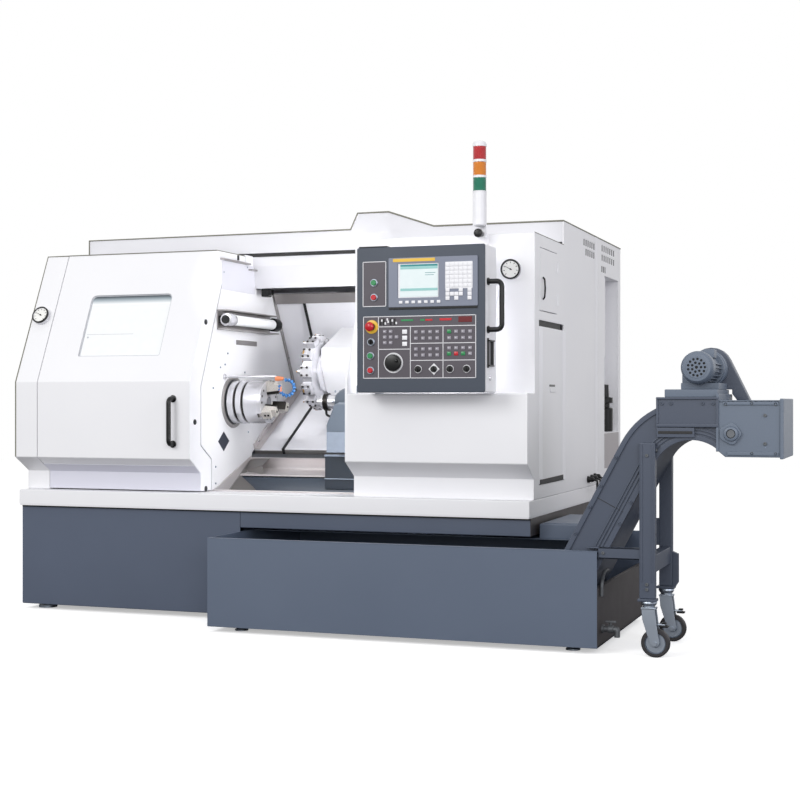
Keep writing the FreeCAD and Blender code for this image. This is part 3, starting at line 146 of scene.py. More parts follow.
white_enamel = powder_coat("white powder coat", "white_enamel", "#f2f2f4", "#eaeaee", 0.38)
slate_enamel = powder_coat("slate powder coat", "slate_enamel", "#566073", "#4c5566", 0.42, 3.0,
                           0.2)
tank_enamel = powder_coat("slate blue powder coat", "slate_enamel", "#5f6a7c", "#566173", 0.42, 3.0,
                          0.2)
conveyor_enamel = powder_coat("slate hammer coat", "slate_enamel", "#4a5262", "#414958", 0.4, 5.0,
                              0.35)
panel_enamel = powder_coat("dark slate powder coat", "slate_enamel", "#38414f", "#343c49", 0.42)
# The rear housing's white is a darker copy of the covers' white, as painted shade.
shaded_housing_enamel = powder_coat("matt white powder coat darkened as painted shade", "white_enamel", "#e3e3e7", "#dadadf", 0.5)
head_enamel = powder_coat("slate grey machine paint", "slate_enamel", "#687383", "#5f6a79", 0.42,
                          4.0, 0.25)
# A lavender grey copy of the white coat paints the shade in the door's foot recess.
skirt_shade_enamel = powder_coat("lavender grey painted shade coat", "white_enamel", "#dcdce6", "#d2d2de", 0.42)
tail_enamel = powder_coat("deep slate machine enamel", "slate_enamel", "#3c4756", "#333d4b", 0.3,
                          4.0, 0.2)
tail_coat = powder_coat("slate machine enamel", "slate_enamel", "#66707d", "#5a6470", 0.3, 4.0, 0.2)
# A dark brown coat paints the shade on the right end faces of the base and the tank.
end_face_shade_primer = powder_coat("dark brown painted shade", "slate_enamel", "#353032", "#2d292a", 0.5)
warm_primer = powder_coat("warm grey primer", "slate_enamel", "#b4afb1", "#a8a3a5", 0.5)
plate_enamel = powder_coat("pale grey plate coat", "white_enamel", "#dddde4", "#d3d3dc", 0.4)
unit_enamel = powder_coat("pale slate moulding paint", "black_plastic", "#7d8393", "#747a8b", 0.4,
                          1.5)
foil_enamel = powder_coat("brown grey panel foil", "slate_enamel", "#504b53", "#48434a", 0.45, 1.2)
print("powder coats:", len(bpy.data.materials))

# %% [markdown]
# ### Bare steel
# The way covers are stainless sheet that was rolled and polished lengthwise, so their
# reflections smear across the grain. Turned parts carry rings instead. A stretched noise
# gives both: the pattern is long along the grain and about a millimetre across it.


# %% Bare steel
def bare_steel(name, slot, colour, shade, roughness, grain_mm=1.5, along=(0.02, 1, 1),
               depth=0.08, metal=1.0):
    """Metal with a lengthwise grain; along is how much the pattern is squeezed on each axis."""
    material, tree, shader, place = start_finish(name, slot, Metallic=metal)
    grain_place = add_node(tree, "ShaderNodeMapping", {"Vector": place, "Scale": along})
    grain = add_node(tree, "ShaderNodeTexNoise",
                     {"Vector": grain_place.outputs[0], "Scale": 1000 / grain_mm, "Detail": 3.0})
    smear = add_node(tree, "ShaderNodeTexNoise", {"Vector": place, "Scale": 6.0, "Detail": 2.0})
    tree.links.new(two_tones(tree, smear.outputs[0], colour, shade), shader.inputs["Base Color"])
    dull = add_node(tree, "ShaderNodeMapRange",
                    {"Value": grain.outputs[0], "To Min": roughness - 0.07,
                     "To Max": roughness + 0.09})
    tree.links.new(dull.outputs[0], shader.inputs["Roughness"])
    bump = add_node(tree, "ShaderNodeBump",
                    {"Height": grain.outputs[0], "Strength": depth, "Distance": 0.0002})
    tree.links.new(bump.outputs[0], shader.inputs["Normal"])
    return material


cover_steel = bare_steel("rolled stainless sheet", "polished_sheet", "#f4f4f8", "#e8e8ee", 0.3,
                         metal=0.12)
# This dark sheet also paints shade: the band along the way covers' tops and the skins on their
# lips.
dark_sheet = bare_steel("oiled stainless sheet and painted shade", "polished_sheet", "#a8a5a4", "#94908f", 0.34,
                        metal=0.6)
pan_steel = bare_steel("wet chute sheet", "polished_sheet", "#dcd8d9", "#cbc4c4", 0.3, metal=0.4)
gusset_steel = bare_steel("dull mild sheet", "machine_iron", "#8b8886", "#777472", 0.42, 2.5,
                          (1, 1, 1), metal=0.5)
turned_steel = bare_steel("ground chuck steel", "ground_steel", "#e2e2e6", "#cfcfd4", 0.2, 1.0,
                          (1, 0.15, 0.15), metal=0.6)
bright_steel = bare_steel("polished tool steel", "ground_steel", "#d8d8dc", "#c2c2c7", 0.22, 1.0,
                          (0.3, 1, 1), metal=0.6)
jaw_steel = bare_steel("hardened jaw steel", "ground_steel", "#dad6d1", "#c2bcb5", 0.28, 1.5,
                       (1, 1, 0.3), metal=0.4)
black_steel = bare_steel("blackened tool steel", "black_oxide_steel", "#3a3836", "#292726", 0.35,
                         2.0, (1, 1, 1), 0.1)
zinc_steel = bare_steel("zinc plated steel", "zinc_steel", "#aab2bd", "#98a1ad", 0.38, 3.0,
                        (1, 1, 1), 0.15)
cast_iron = bare_steel("sand cast iron", "zinc_steel", "#6f7276", "#5e6165", 0.55, 4.0, (1, 1, 1),
                       0.5, 0.7)
brass = bare_steel("turned brass", "black_oxide_steel", "#b08a4a", "#96713a", 0.3, 1.0, (1, 1, 1),
                   0.05)

# %% [markdown]
# ### Plastics, rubber and glass
# Keys, knobs and lamp caps are injection moulded, so they are smooth dielectrics with a
# very fine grain. Rubber is rougher and scatters more. The door's pane is laminated safety
# glass, thin and nearly opaque: its pale white is a painted reflection.


# %% Plastics, rubber and glass
def moulded(name, slot, colour, shade, roughness, grain_mm=0.8, depth=0.1, **sockets):
    """Injection moulded plastic or rubber with an even, fine grain."""
    material, tree, shader, place = start_finish(name, slot, Roughness=roughness, **sockets)
    drift = add_node(tree, "ShaderNodeTexNoise", {"Vector": place, "Scale": 30.0})
    tree.links.new(two_tones(tree, drift.outputs[0], colour, shade), shader.inputs["Base Color"])
    grain = add_node(tree, "ShaderNodeTexNoise", {"Vector": place, "Scale": 1000 / grain_mm})
    bump = add_node(tree, "ShaderNodeBump",
                    {"Height": grain.outputs[0], "Strength": depth, "Distance": 0.0001})
    tree.links.new(bump.outputs[0], shader.inputs["Normal"])
    return material


black_plastic = moulded("black polyamide", "black_plastic", "#0d0e10", "#08090a", 0.3,
                        Specular_IOR_Level=0.35)
black_rubber = moulded("black nitrile rubber", "black_plastic", "#1e1e20", "#161617", 0.6, 1.5, 0.3)
tyre_rubber = moulded("dark tyre rubber", "wheel_tyre", "#2c2a2c", "#232124", 0.55, 1.5, 0.3)
pale_plastic = moulded("pale polycarbonate", "pale_plastic", "#ededf0", "#e4e4e8", 0.3)
key_plastic = moulded("white key silicone", "pale_plastic", "#f1f1f4", "#e6e6ea", 0.45)
grey_key = moulded("grey membrane key", "pale_plastic", "#98949d", "#8a8690", 0.45)
red_plastic = moulded("red button plastic", "red_plastic", "#c81f2b", "#b31722", 0.25)
green_plastic = moulded("green button plastic", "green_plastic", "#2d9155", "#247a46", 0.25)
yellow_plastic = moulded("yellow collar plastic", "pale_plastic", "#e8bd3a", "#dcae2c", 0.3)
blue_plastic = moulded("blue hose acetal", "blue_plastic", "#3f7fc0", "#356fad", 0.3)
orange_plastic = moulded("orange nozzle acetal", "blue_plastic", "#e58a5a", "#d97a4a", 0.3)
red_lens = moulded("red lamp lens", "red_plastic", "#c32f35", "#ab2228", 0.15, Coat_Weight=0.4)
amber_lens = moulded("amber lamp lens", "red_plastic", "#e3882a", "#d07a20", 0.15, Coat_Weight=0.4)
green_lens = moulded("green lamp lens", "red_plastic", "#1c7f63", "#146a52", 0.15, Coat_Weight=0.4)
lamp_tube = moulded("frosted lamp tube", "pale_plastic", "#f6f7f8", "#eceef0", 0.35)
dial_paper = moulded("printed dial card", "pale_plastic", "#f4f4f2", "#ecece8", 0.6)
screen_glow = moulded("lit screen", "pale_plastic", "#e9f3f4", "#dfeced", 0.2)
screen_teal = moulded("lit screen band", "blue_plastic", "#2f8f92", "#2a8487", 0.2)
grey_seal = moulded("grey window seal", "black_plastic", "#c6c9ce", "#babdc3", 0.5)
# An olive grey trim paints the dark shading along rounded roof and strip edges.
edge_shade_trim = moulded("olive painted edge shade", "black_plastic", "#7b7a6e", "#6f6e62", 0.6)
# The pane's near-opaque white is painted reflection on the glass.
glass_with_painted_reflection = moulded("safety glass with painted reflection", "window_glass", "#fcfdfe", "#f6f9fb", 0.04, 40, 0.02,
                     Alpha=0.93)


def painted_pane_shade():
    """Painted shadow and reflection at the pane's upper edge: dark at the top, fading to pale
    downwards.
    """
    material, tree, shader, place = start_finish("painted shadow and reflection at the pane's top", "slate_enamel",
                                                 Roughness=0.15)
    height = add_node(tree, "ShaderNodeSeparateXYZ", {"Vector": place})
    share = add_node(tree, "ShaderNodeMapRange",
                     {"Value": height.outputs["Z"], "From Min": 1.488, "From Max": 1.527})
    ramp = add_node(tree, "ShaderNodeValToRGB", {"Fac": share.outputs[0]})
    ramp.color_ramp.elements[0].color = linear("#fafcfd")
    ramp.color_ramp.elements[1].color = linear("#2f3a43")
    middle = ramp.color_ramp.elements.new(0.55)
    middle.color = linear("#a3afb7")
    tree.links.new(ramp.outputs[0], shader.inputs["Base Color"])
    return material


pane_top_shade = painted_pane_shade()
print("finishes:", len(bpy.data.materials))

# %% [markdown]
# ## Shapes from outlines
# Sheet metal is an outline, folded or cut, with a thickness and softly broken edges. A 2D
# curve does exactly that: it fills the outline and its holes, gives the thickness, and its
# bevel rounds the edges. Turned parts are a profile swept round an axis, and handles are a
# path with a round section.


# %% Rounded corners and plates
def soften(points, radius, closed=True, steps=4):
    """Replaces the corners of a polyline by arcs; radius is one number or one for each corner."""
    spots = [Vector(point) for point in points]
    radii = list(radius) if isinstance(radius, (list, tuple)) else [radius] * len(spots)
    result = []
    for place, spot in enumerate(spots):
        back = spots[place - 1] - spot
        ahead = spots[(place + 1) % len(spots)] - spot
        at_end = not closed and place in (0, len(spots) - 1)
        bend = math.pi if at_end or radii[place] <= 0 else back.angle(ahead)
        if bend > math.pi - 0.02:
            result.append(spot)
            continue
        setback = min(radii[place] / math.tan(bend / 2), back.length * 0.48, ahead.length * 0.48)
        inward = (back.normalized() + ahead.normalized()).normalized()
        centre = spot + inward * (setback / math.cos(bend / 2))
        start = spot + back.normalized() * setback - centre
        end = spot + ahead.normalized() * setback - centre
        turn = start.angle(end)
        for step in range(steps + 1):
            share = step / steps
            arm = start * math.sin((1 - share) * turn) + end * math.sin(share * turn)
            result.append(centre + arm / math.sin(turn))
    return result


def rectangle(left, right, low, high, radius=0):
    return soften([(left, low), (right, low), (right, high), (left, high)], radius)


def circle(across, up, radius, steps=24):
    turns = [2 * math.pi * step / steps for step in range(steps)]
    return [(across + radius * math.cos(turn), up + radius * math.sin(turn)) for turn in turns]


AXIS_TURNS = {"x": Matrix(((0, 0, 1, 0), (1, 0, 0, 0), (0, 1, 0, 0), (0, 0, 0, 1))),
              "y": Matrix.Rotation(math.radians(90), 4, "X"), "z": Matrix()}


def add_line(curve, spots):
    """Adds a line of straight runs to a curve."""
    spline = curve.splines.new("POLY")
    spline.points.add(len(spots) - 1)
    for point, spot in zip(spline.points, spots):
        point.co = (*Vector(spot).to_3d(), 1)
    return spline


def shape_of_curve(curve, weld):
    """The filled curve as a shape, with points closer than weld joined."""
    holder = bpy.data.objects.new("curve", curve)
    flat = bpy.data.meshes.new_from_object(holder)
    shape = bmesh.new()
    shape.from_mesh(flat)
    bpy.data.objects.remove(holder)
    bpy.data.curves.remove(curve)
    bpy.data.meshes.remove(flat)
    bmesh.ops.remove_doubles(shape, verts=shape.verts, dist=weld)
    return shape


def slab(outline, low, high, axis="x", holes=(), edge=2.0, bend=0):
    """A plate: an outline across an axis, pulled from low to high, with rounded edges."""
    curve = bpy.data.curves.new("outline", "CURVE")
    curve.dimensions = "2D"
    curve.fill_mode = "BOTH"
    edge = min(edge, (high - low) * 0.45)
    curve.extrude = (high - low) / 2 - edge
    curve.bevel_depth = edge
    curve.bevel_resolution = 1
    curve.offset = -edge
    for loop in (soften(outline, bend), *holes):
        add_line(curve, loop).use_cyclic_u = True
    shape = shape_of_curve(curve, 0.02)
    middle = (low + high) / 2
    shift = {"x": (middle, 0, 0), "y": (0, middle, 0), "z": (0, 0, middle)}[axis]
    shape.transform(Matrix.Translation(shift) @ AXIS_TURNS[axis])
    bmesh.ops.recalc_face_normals(shape, faces=shape.faces)
    return shape


# %% [markdown]
# A box with broken edges, a turned part and a bent tube complete the set. The turned part
# is made ring by ring, and closes in a single point where its profile meets the axis.


# %% Boxes, turned parts and tubes
def block(low, high, edge=1.5):
    """A box between two corners with rounded edges."""
    shape = bmesh.new()
    bmesh.ops.create_cube(shape, size=1)
    size = Vector(high) - Vector(low)
    to_middle = Matrix.Translation((Vector(high) + Vector(low)) / 2)
    shape.transform(to_middle @ Matrix.Diagonal((*size, 1)))
    edge = min(edge, min(size) * 0.45)
    bmesh.ops.bevel(shape, geom=shape.edges[:], offset=edge, segments=2, affect="EDGES",
                    profile=0.5)
    return shape


def turned(profile, axis="x", centre=(0, 0, 0), steps=48, bend=0, loop=False):
    """Turns (along, radius) pairs about an axis through a centre."""
    spots = soften(profile, bend, closed=loop, steps=3)
    shape = bmesh.new()
    turn_to = {"x": Matrix(), "y": Matrix.Rotation(math.radians(90), 4, "Z"),
               "z": Matrix.Rotation(math.radians(-90), 4, "Y")}[axis]
    rings = []
    for along, radius in spots:
        if radius < 0.01:
            rings.append([shape.verts.new((along, 0, 0))])
            continue
        turns = [2 * math.pi * step / steps for step in range(steps)]
        rings.append([shape.verts.new((along, radius * math.cos(t), radius * math.sin(t)))
                      for t in turns])
    pairs = list(zip(rings, rings[1:])) + ([(rings[-1], rings[0])] if loop else [])
    for near, far in pairs:
        for step in range(steps):
            following = (step + 1) % steps
            corners = [near[step % len(near)], near[following % len(near)],
                       far[following % len(far)], far[step % len(far)]]
            unique = list(dict.fromkeys(corners))
            if len(unique) > 2:
                shape.faces.new(unique)
    bmesh.ops.recalc_face_normals(shape, faces=shape.faces)
    shape.transform(Matrix.Translation(centre) @ turn_to)
    return shape


def tube(points, radius, bend=0, steps=3):
    """A round bar or pipe along a path whose corners are bent."""
    curve = bpy.data.curves.new("path", "CURVE")
    curve.dimensions = "3D"
    add_line(curve, soften(points, bend, closed=False, steps=6))
    curve.bevel_depth = radius
    curve.bevel_resolution = steps
    curve.use_fill_caps = True
    shape = shape_of_curve(curve, 0.01)
    bmesh.ops.recalc_face_normals(shape, faces=shape.faces)
    return shape


def moved(shape, matrix):
    shape.transform(matrix)
    return shape


# %% [markdown]
# ## From shapes to pieces
# A piece joins its shapes in one mesh, takes one finish, and rides on a body of the frame.
# Flat faces next to rounded edges need weighted normals, or the edge's shading bleeds into
# the sheet. The modifier that works them out is baked, so the piece is a plain mesh.

# %% Making a piece
SHARP_FROM = 38  # degrees between two faces that make an edge stay crisp
made = {}


def place_in_scene(name, data):
    """A new object in the scene for a mesh, a lamp or a camera."""
    thing = bpy.data.objects.new(name, data)
    bpy.context.collection.objects.link(thing)
    return thing


def plain_mesh(holder, name):
    """Bakes an object's modifiers into a mesh of its own and removes the object."""
    scene_now = bpy.context.evaluated_depsgraph_get()
    mesh = bpy.data.meshes.new_from_object(holder.evaluated_get(scene_now))
    mesh.name = name
    bpy.data.objects.remove(holder)
    return mesh


def seat(name, mesh, body, finish, stands_for=(), slot=None):
    """Puts a finished mesh in the scene and ties it to its body.

    A finish has a slot that it usually fills; slot is worked out here but not used.
    """
    mesh.materials.clear()
    mesh.materials.append(finish)
    slot = slot or usual_slot[finish.name]
    piece = place_in_scene(name, mesh)
    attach(piece, body)
    if stands_for:
        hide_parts(*([stands_for] if isinstance(stands_for, str) else stands_for))
    made[name] = len(mesh.polygons)
    print(name, "on", body, "has", made[name], "faces")


def dress(name, body, finish, shapes, stands_for=(), drawn_in=MACHINE, carve=None, slot=None):
    """Joins shapes into one piece; carve is a shape that is cut out of it."""
    whole = bmesh.new()
    for shape in shapes:
        part = bpy.data.meshes.new("part")
        shape.to_mesh(part)
        whole.from_mesh(part)
        shape.free()
        bpy.data.meshes.remove(part)
    whole.transform(drawn_in)
    mesh = bpy.data.meshes.new(name)
    whole.to_mesh(mesh)
    whole.free()
    holder = place_in_scene("holder", mesh)
    if carve is not None:
        cutter_mesh = bpy.data.meshes.new("cutter")
        carve.transform(drawn_in)
        carve.to_mesh(cutter_mesh)
        carve.free()
        cutter = place_in_scene("cutter", cutter_mesh)
        cut = holder.modifiers.new("cut", "BOOLEAN")
        cut.object = cutter
        cut.solver = "EXACT"
        flat = plain_mesh(holder, name)
        bpy.data.objects.remove(cutter)
        holder = place_in_scene("holder", flat)
    holder.data.shade_smooth()
    holder.data.set_sharp_from_angle(angle=math.radians(SHARP_FROM))
    weigh = holder.modifiers.new("weigh", "WEIGHTED_NORMAL")
    weigh.keep_sharp = True
    seat(name, plain_mesh(holder, name), body, finish, stands_for, slot)


# %% [markdown]
# ## Repeats by Geometry Nodes
# Screws, keys, hose links and belt slats repeat. One tree sets a small item on every point of
# a mesh, turned to face where the point's own direction says, then makes the copies real
# and gives them their finish, because copies that stay instances are lost on export.


# %% The tree that repeats an item
def build_repeat_tree():
    tree = bpy.data.node_groups.new("item on every point", "GeometryNodeTree")
    sockets = tree.interface
    sockets.new_socket("Points", in_out="INPUT", socket_type="NodeSocketGeometry")
    sockets.new_socket("Item", in_out="INPUT", socket_type="NodeSocketObject")
    sockets.new_socket("Item size", in_out="INPUT", socket_type="NodeSocketFloat")
    sockets.new_socket("Finish", in_out="INPUT", socket_type="NodeSocketMaterial")
    sockets.new_socket("Result", in_out="OUTPUT", socket_type="NodeSocketGeometry")
    given = add_node(tree, "NodeGroupInput")
    facing = add_node(tree, "GeometryNodeInputNamedAttribute", {"Name": "facing"},
                      data_type="FLOAT_VECTOR")
    turn = add_node(tree, "FunctionNodeAlignRotationToVector",
                    {"Vector": facing.outputs["Attribute"]}, axis="Z")
    item = add_node(tree, "GeometryNodeObjectInfo", {"Object": given.outputs["Item"]})
    copies = add_node(tree, "GeometryNodeInstanceOnPoints",
                      {"Points": given.outputs["Points"], "Instance": item.outputs["Geometry"],
                       "Rotation": turn.outputs["Rotation"], "Scale": given.outputs["Item size"]})
    real = add_node(tree, "GeometryNodeRealizeInstances", {"Geometry": copies.outputs[0]})
    coated = add_node(tree, "GeometryNodeSetMaterial",
                      {"Geometry": real.outputs[0], "Material": given.outputs["Finish"]})
    add_node(tree, "NodeGroupOutput", {"Result": coated.outputs[0]})
    return tree


repeat_tree = build_repeat_tree()
ITEM_SHARP_FROM = 35  # degrees; small items keep a few more edges crisp


def repeat_item(name, body, finish, item, places, drawn_in=MACHINE, slot=None):
    """Sets one small shape on each (position, direction) place."""
    item_mesh = bpy.data.meshes.new("item")
    item.to_mesh(item_mesh)
    item.free()
    item_mesh.shade_smooth()
    item_mesh.set_sharp_from_angle(angle=math.radians(ITEM_SHARP_FROM))
    item_holder = place_in_scene("item", item_mesh)
    points = bpy.data.meshes.new(name)
    points.from_pydata([tuple(spot) for spot, _ in places], [], [])
    facing = points.attributes.new("facing", "FLOAT_VECTOR", "POINT")
    for place, (_, direction) in enumerate(places):
        facing.data[place].vector = direction
    holder = place_in_scene("points", points)
    modifier = holder.modifiers.new("repeat", "NODES")
    modifier.node_group = repeat_tree
    given = {"Item": item_holder, "Item size": 1.0, "Finish": finish}
    for socket in repeat_tree.interface.items_tree:
        if socket.in_out == "INPUT" and socket.name in given:
            modifier[socket.identifier] = given[socket.name]
    mesh = plain_mesh(holder, name)
    bpy.data.objects.remove(item_holder)
    mesh.transform(drawn_in)
    seat(name, mesh, body, finish, slot=slot)


def cap_screw(radius=6.0, height=5.0):
    """A socket screw's head, with few faces because there are many of them."""
    return turned([(0, 0), (0, radius), (height * 0.8, radius), (height, radius * 0.84),
                   (height, radius * 0.5), (height * 0.45, radius * 0.45), (height * 0.45, 0)],
                  axis="z", steps=8)


OUT_FRONT, OUT_BACK, OUT_UP = (0, -1, 0), (0, 1, 0), (0, 0, 1)
OUT_LEFT, OUT_RIGHT = (-1, 0, 0), (1, 0, 0)

# %% [markdown]
# ## Base and sill
# The base is a welded box with a bay for the coolant tank, and the white sill is a folded
# tray that lies on it all round. The front of the base left of the bay is one plate.

# %% Base and sill
dress("base_plinth_panels", "machine", slate_enamel, [
    block((0, 0, 25), (1184, 1960, 508), 5),
    block((1186, 672, 25), (2569, 1960, 508), 5),
    slab(rectangle(1186, 2569, 0, 671), 430, 508, "z", [rectangle(1300, 2300, 200, 430)], 4),
    block((1170, 2, 25), (1184, 40, 430), 3),
], "base_plinth")
# The base's right end is coated dark brown as painted shade.
dress("base_end_plates", "machine", end_face_shade_primer, [
    block((2568.5, 1, 431), (2572, 671, 507), 1), block((2568.5, 671, 27), (2572, 1959, 507), 1)])
# A black strip under the sill's front lip is painted shadow of its overhang.
dress("sill_seam", "machine", black_rubber, [block((3, -2, 500), (2569, 1, 509.5), 0.5)])

dress("sill_tray_folded", "machine", white_enamel, [
    slab(rectangle(0, 2572, -25, 1960, 4), 511, 585, "z",
         [rectangle(60, 2512, 165, 1900)], 5),
    slab(rectangle(2, 2570, -23, 1958, 4), 508, 513, "z", [rectangle(60, 2512, 165, 1900)], 1),
], "sill_tray")


# %% [markdown]
# ## Covers
# Seen from the side, the front covers rise from a recessed foot, bulge out, stand upright
# and then lean back to the roof. The strip at the left, the sliding door and the right
# cover share that profile, so one function gives it, moved in by any depth.


# %% The covers' side profile
def cover_profile(inset=0.0, bottom=585.0):
    return [(50 + inset, bottom), (50 + inset, 676 + 0.5532 * inset),
            (-60 + inset, 745 + 0.5532 * inset), (-60 + inset, 1109 - 0.2117 * inset),
            (222 + 0.6505 * inset, 1745 - inset)]


def cover_band(outer, inner, bottom=585.0, back=605.0):
    """The profile as a wall between two depths, closed along the roof."""
    return (cover_profile(outer, bottom) + [(back, 1745 - outer), (back, 1745 - inner)]
            + cover_profile(inner, bottom)[::-1])


print("profile corners:", [tuple(round(v) for v in corner) for corner in cover_profile()])

# %% Left covers
dress("left_cover_sheets", "machine", white_enamel, [
    slab(cover_band(0, 122), 0, 124, bend=7, edge=3),
    slab(cover_band(114, 122), 124, 943, bend=5, edge=1),
    slab(cover_profile(4, 590) + [(607, 1741), (607, 1865), (1958, 1865), (1958, 590)], 2.5, 8,
         edge=1.5),
    slab(rectangle(700, 1240, 700, 1700, 6), 0.4, 6, edge=1.4),
    slab(rectangle(1262, 1802, 700, 1700, 6), 0.4, 6, edge=1.4),
], "left_cover")
repeat_item("left_cover_latches", "machine", black_plastic,
            block((-9, -26, 0), (9, 26, 10), 2),
            [((10, along, 1180), OUT_LEFT) for along in (1206, 1296)])
dress("door_track", "machine", dark_sheet, [
    block((60, 240, 1612), (943, 252, 1630), 1),
    block((60, 540, 1612), (943, 552, 1630), 1),
])

# %% [markdown]
# ## Sliding door
# The door is a deep tray of sheet metal: it follows the covers' profile, is open at the
# back, and carries a pane in its slope. The window is cut square to the slope, so the
# cutter is drawn in the slope's own frame. Three rubber stops sit in its right end.

# %% Door skin with its window
window_hole = slab(soften([(318, 134), (764, 134), (764, 466), (318, 466)], [10, 10, 26, 26]),
                   -160, 40, "z", edge=0.5)
window_hole = moved(window_hole, MACHINE.inverted() @ SLOPE)
dress("door_skin", "front_door", white_enamel, [
    slab(cover_profile(0, 590) + [(530, 1745), (530, 1637)] + cover_profile(108, 590)[::-1],
         127, 955, bend=7, edge=4),
], "door_panel", carve=window_hole)
dress("window_seal", "front_door", grey_seal, [
    slab(soften([(319, 135), (763, 135), (763, 465), (319, 465)], [10, 10, 25, 25]), -20, -5, "z",
         [soften([(324, 140), (758, 140), (758, 461), (324, 461)], [7, 7, 21, 21])], 1.5),
], drawn_in=SLOPE)
# A band at the pane's top is painted shadow and reflection, darkest at the top edge.
dress("window_frit", "front_door", pane_top_shade, [
    slab(soften([(323, 415), (759, 415), (759, 462), (323, 462)], [0, 0, 22, 22]), -9.4, -8.6, "z",
         edge=0.3)], drawn_in=SLOPE)
dress("window_marks", "front_door", grey_seal, [
    block((334, 255, -9.2), (590, 257, -8.6), 0.2),
    turned([(-9.4, 0), (-9.4, 5), (-6, 4), (-6, 0)], "z", (344, 241, 0), 12),
], drawn_in=SLOPE)
# The pane's pale white is painted reflection.
dress("window_pane", "front_door", glass_with_painted_reflection, [
    slab(rectangle(320, 762, 136, 464, 8), -15, -9, "z", edge=0.6),
], "door_window", drawn_in=SLOPE)

# A lavender grey skin over the door's foot recess and undercut is painted shade under the bulge.
dress("door_skirt", "front_door", skirt_shade_enamel, [
    slab([(48.4, 592), (48.4, 675), (-8, 710.6), (-7, 712), (50, 676.5), (50, 592)], 128, 953,
         edge=0.5)])
# A thin olive line along the door's roof edge is painted shade.
dress("door_top_seal", "front_door", edge_shade_trim, [
    tube([(128, 221, 1745), (953, 221, 1745), (953, 528, 1745)], 2.6, steps=1)])

dress("door_catch", "front_door", black_plastic, [
    block((955, 436, 1716), (960.5, 450, 1741), 1.5)])

# %% Handle and stops
dress("door_handle_bar", "front_door", black_plastic, [
    tube([(867, -62, 815), (867, -104, 815), (867, -104, 1027), (867, -62, 1027)], 11, 26, 4),
    turned([(-60, 17), (-64, 17), (-66, 14), (-66, 0)], "y", (867, 0, 815), 24),
    turned([(-60, 17), (-64, 17), (-66, 14), (-66, 0)], "y", (867, 0, 1027), 24),
], "door_handle", slot="chrome_plate")
repeat_item("door_stops", "front_door", black_rubber,
            turned([(0, 0), (0, 13), (3, 13), (5.5, 9), (5.5, 0)], "z", steps=16),
            [((955, back, up), OUT_RIGHT) for back, up in ((98, 1392), (-13, 918), (98, 600))])

# %% [markdown]
# ## Right cover
# The right cover is a shell with a jamb that meets the closed door. The operator panel
# hangs in front of it on a post, above the ledge of the cover's bulge.

# %% Right cover with jamb and post
right_band = [(50, 585), (50, 676), (-60, 745), (-60, 1050), (66, 1050), (66, 1752), (605, 1752),
              (605, 1744), (74, 1744), (74, 1042), (-52, 1042), (-52, 749), (58, 680), (58, 585)]
dress("right_cover_sheets", "machine", white_enamel, [
    slab(right_band, 1742, 2566, edge=2, bend=[0, 5, 9, 7, 4, 7, 0, 0, 3, 3, 4, 5, 3, 0]),
    slab(cover_profile()[:4] + [(66, 1393), (66, 1752), (126, 1752), (126, 1109), (54, 1085),
                                (54, 808), (164, 739), (164, 585)], 1731, 1743, edge=1.5),
    slab(rectangle(1851, 1980, -60, 66, 6), 1684, 1696, "z", edge=2),
], "right_cover")
POST_FOOT = (1885, -30, 0)
dress("panel_post", "machine", zinc_steel, [
    turned([(1048, 12), (1696, 12), (1700, 8), (1700, 0)], "z", POST_FOOT, 24),
    turned([(1050, 20), (1058, 20), (1060, 16), (1060, 12)], "z", POST_FOOT, 24),
    turned([(1676, 17), (1684, 17)], "z", POST_FOOT, 24),
])

# %% [markdown]
# ## Right wall
# The right end carries two hinged service doors, rows of short louvres and an open bay
# with an air filter. The slots are holes in one outline, so light and shade fall through
# them as in real sheet.

# %% Right wall
slots = [rectangle(along, along + 30, low, low + 32, 3)
         for along, low in [(1030 + 46 * k, 1793) for k in range(6)]
         + [(1075 + 46 * k, 1747) for k in range(5)]
         + [(1462 + 50 * k, low) for k in range(7) for low in (1805, 1755)]
         + [(1456 + 40 * k, 1695) for k in range(3)]]
wall_outline = [(50, 586), (50, 676), (-60, 745), (-60, 1050), (66, 1050), (66, 1752), (607, 1752),
                (607, 1865), (1960, 1865), (1960, 586)]
dress("right_wall_sheet", "machine", white_enamel, [
    slab(wall_outline, 2564, 2572, edge=2, holes=slots + [
        rectangle(155, 475, 1415, 1697, 4), rectangle(139, 611, 645, 1374, 4),
        rectangle(1530, 1900, 850, 1680, 6)], bend=[0, 4, 6, 5, 3, 4, 3, 3, 0, 0]),
    slab(rectangle(1524, 1906, 844, 1686, 6), 2414, 2420, edge=1),
    block((2420, 1524, 844), (2564, 1530, 1686), 1),
    block((2420, 1900, 844), (2564, 1906, 1686), 1),
    block((2420, 1530, 844), (2564, 1900, 850), 1),
    block((2420, 1530, 1680), (2564, 1900, 1686), 1),
    slab([(2571, 1304), (2579, 1322), (2579, 1326), (2571, 1328)], 590, 1860, "z", edge=0.8),
    block((2556, 1531, 1255), (2562, 1596, 1678), 1),
], "right_wall")
dress("louvre_shadows", "machine", black_rubber, [
    block((2560, 1020, 1742), (2569.5, 1318, 1830), 1),
    block((2560, 1450, 1690), (2569.5, 1826, 1842), 1)])
dress("bay_foot_plate", "machine", warm_primer, [
    block((2569, 1528, 660), (2573.5, 1904, 846), 1.5)])
dress("air_filter", "machine", black_plastic, [
    turned([(852, 0), (852, 38), (856, 41.5), (975, 41.5), (979, 38), (982, 24), (1004, 24),
            (1008, 41), (1036, 41), (1040, 20), (1106, 18), (1109, 0)], "z", (2520, 1800, 0), 32),
    tube([(2520, 1800, 1020), (2520, 1720, 1020), (2470, 1700, 1100), (2424, 1700, 1180)], 7, 24),
    block((2420, 1778, 1008), (2500, 1822, 1034), 3),
])
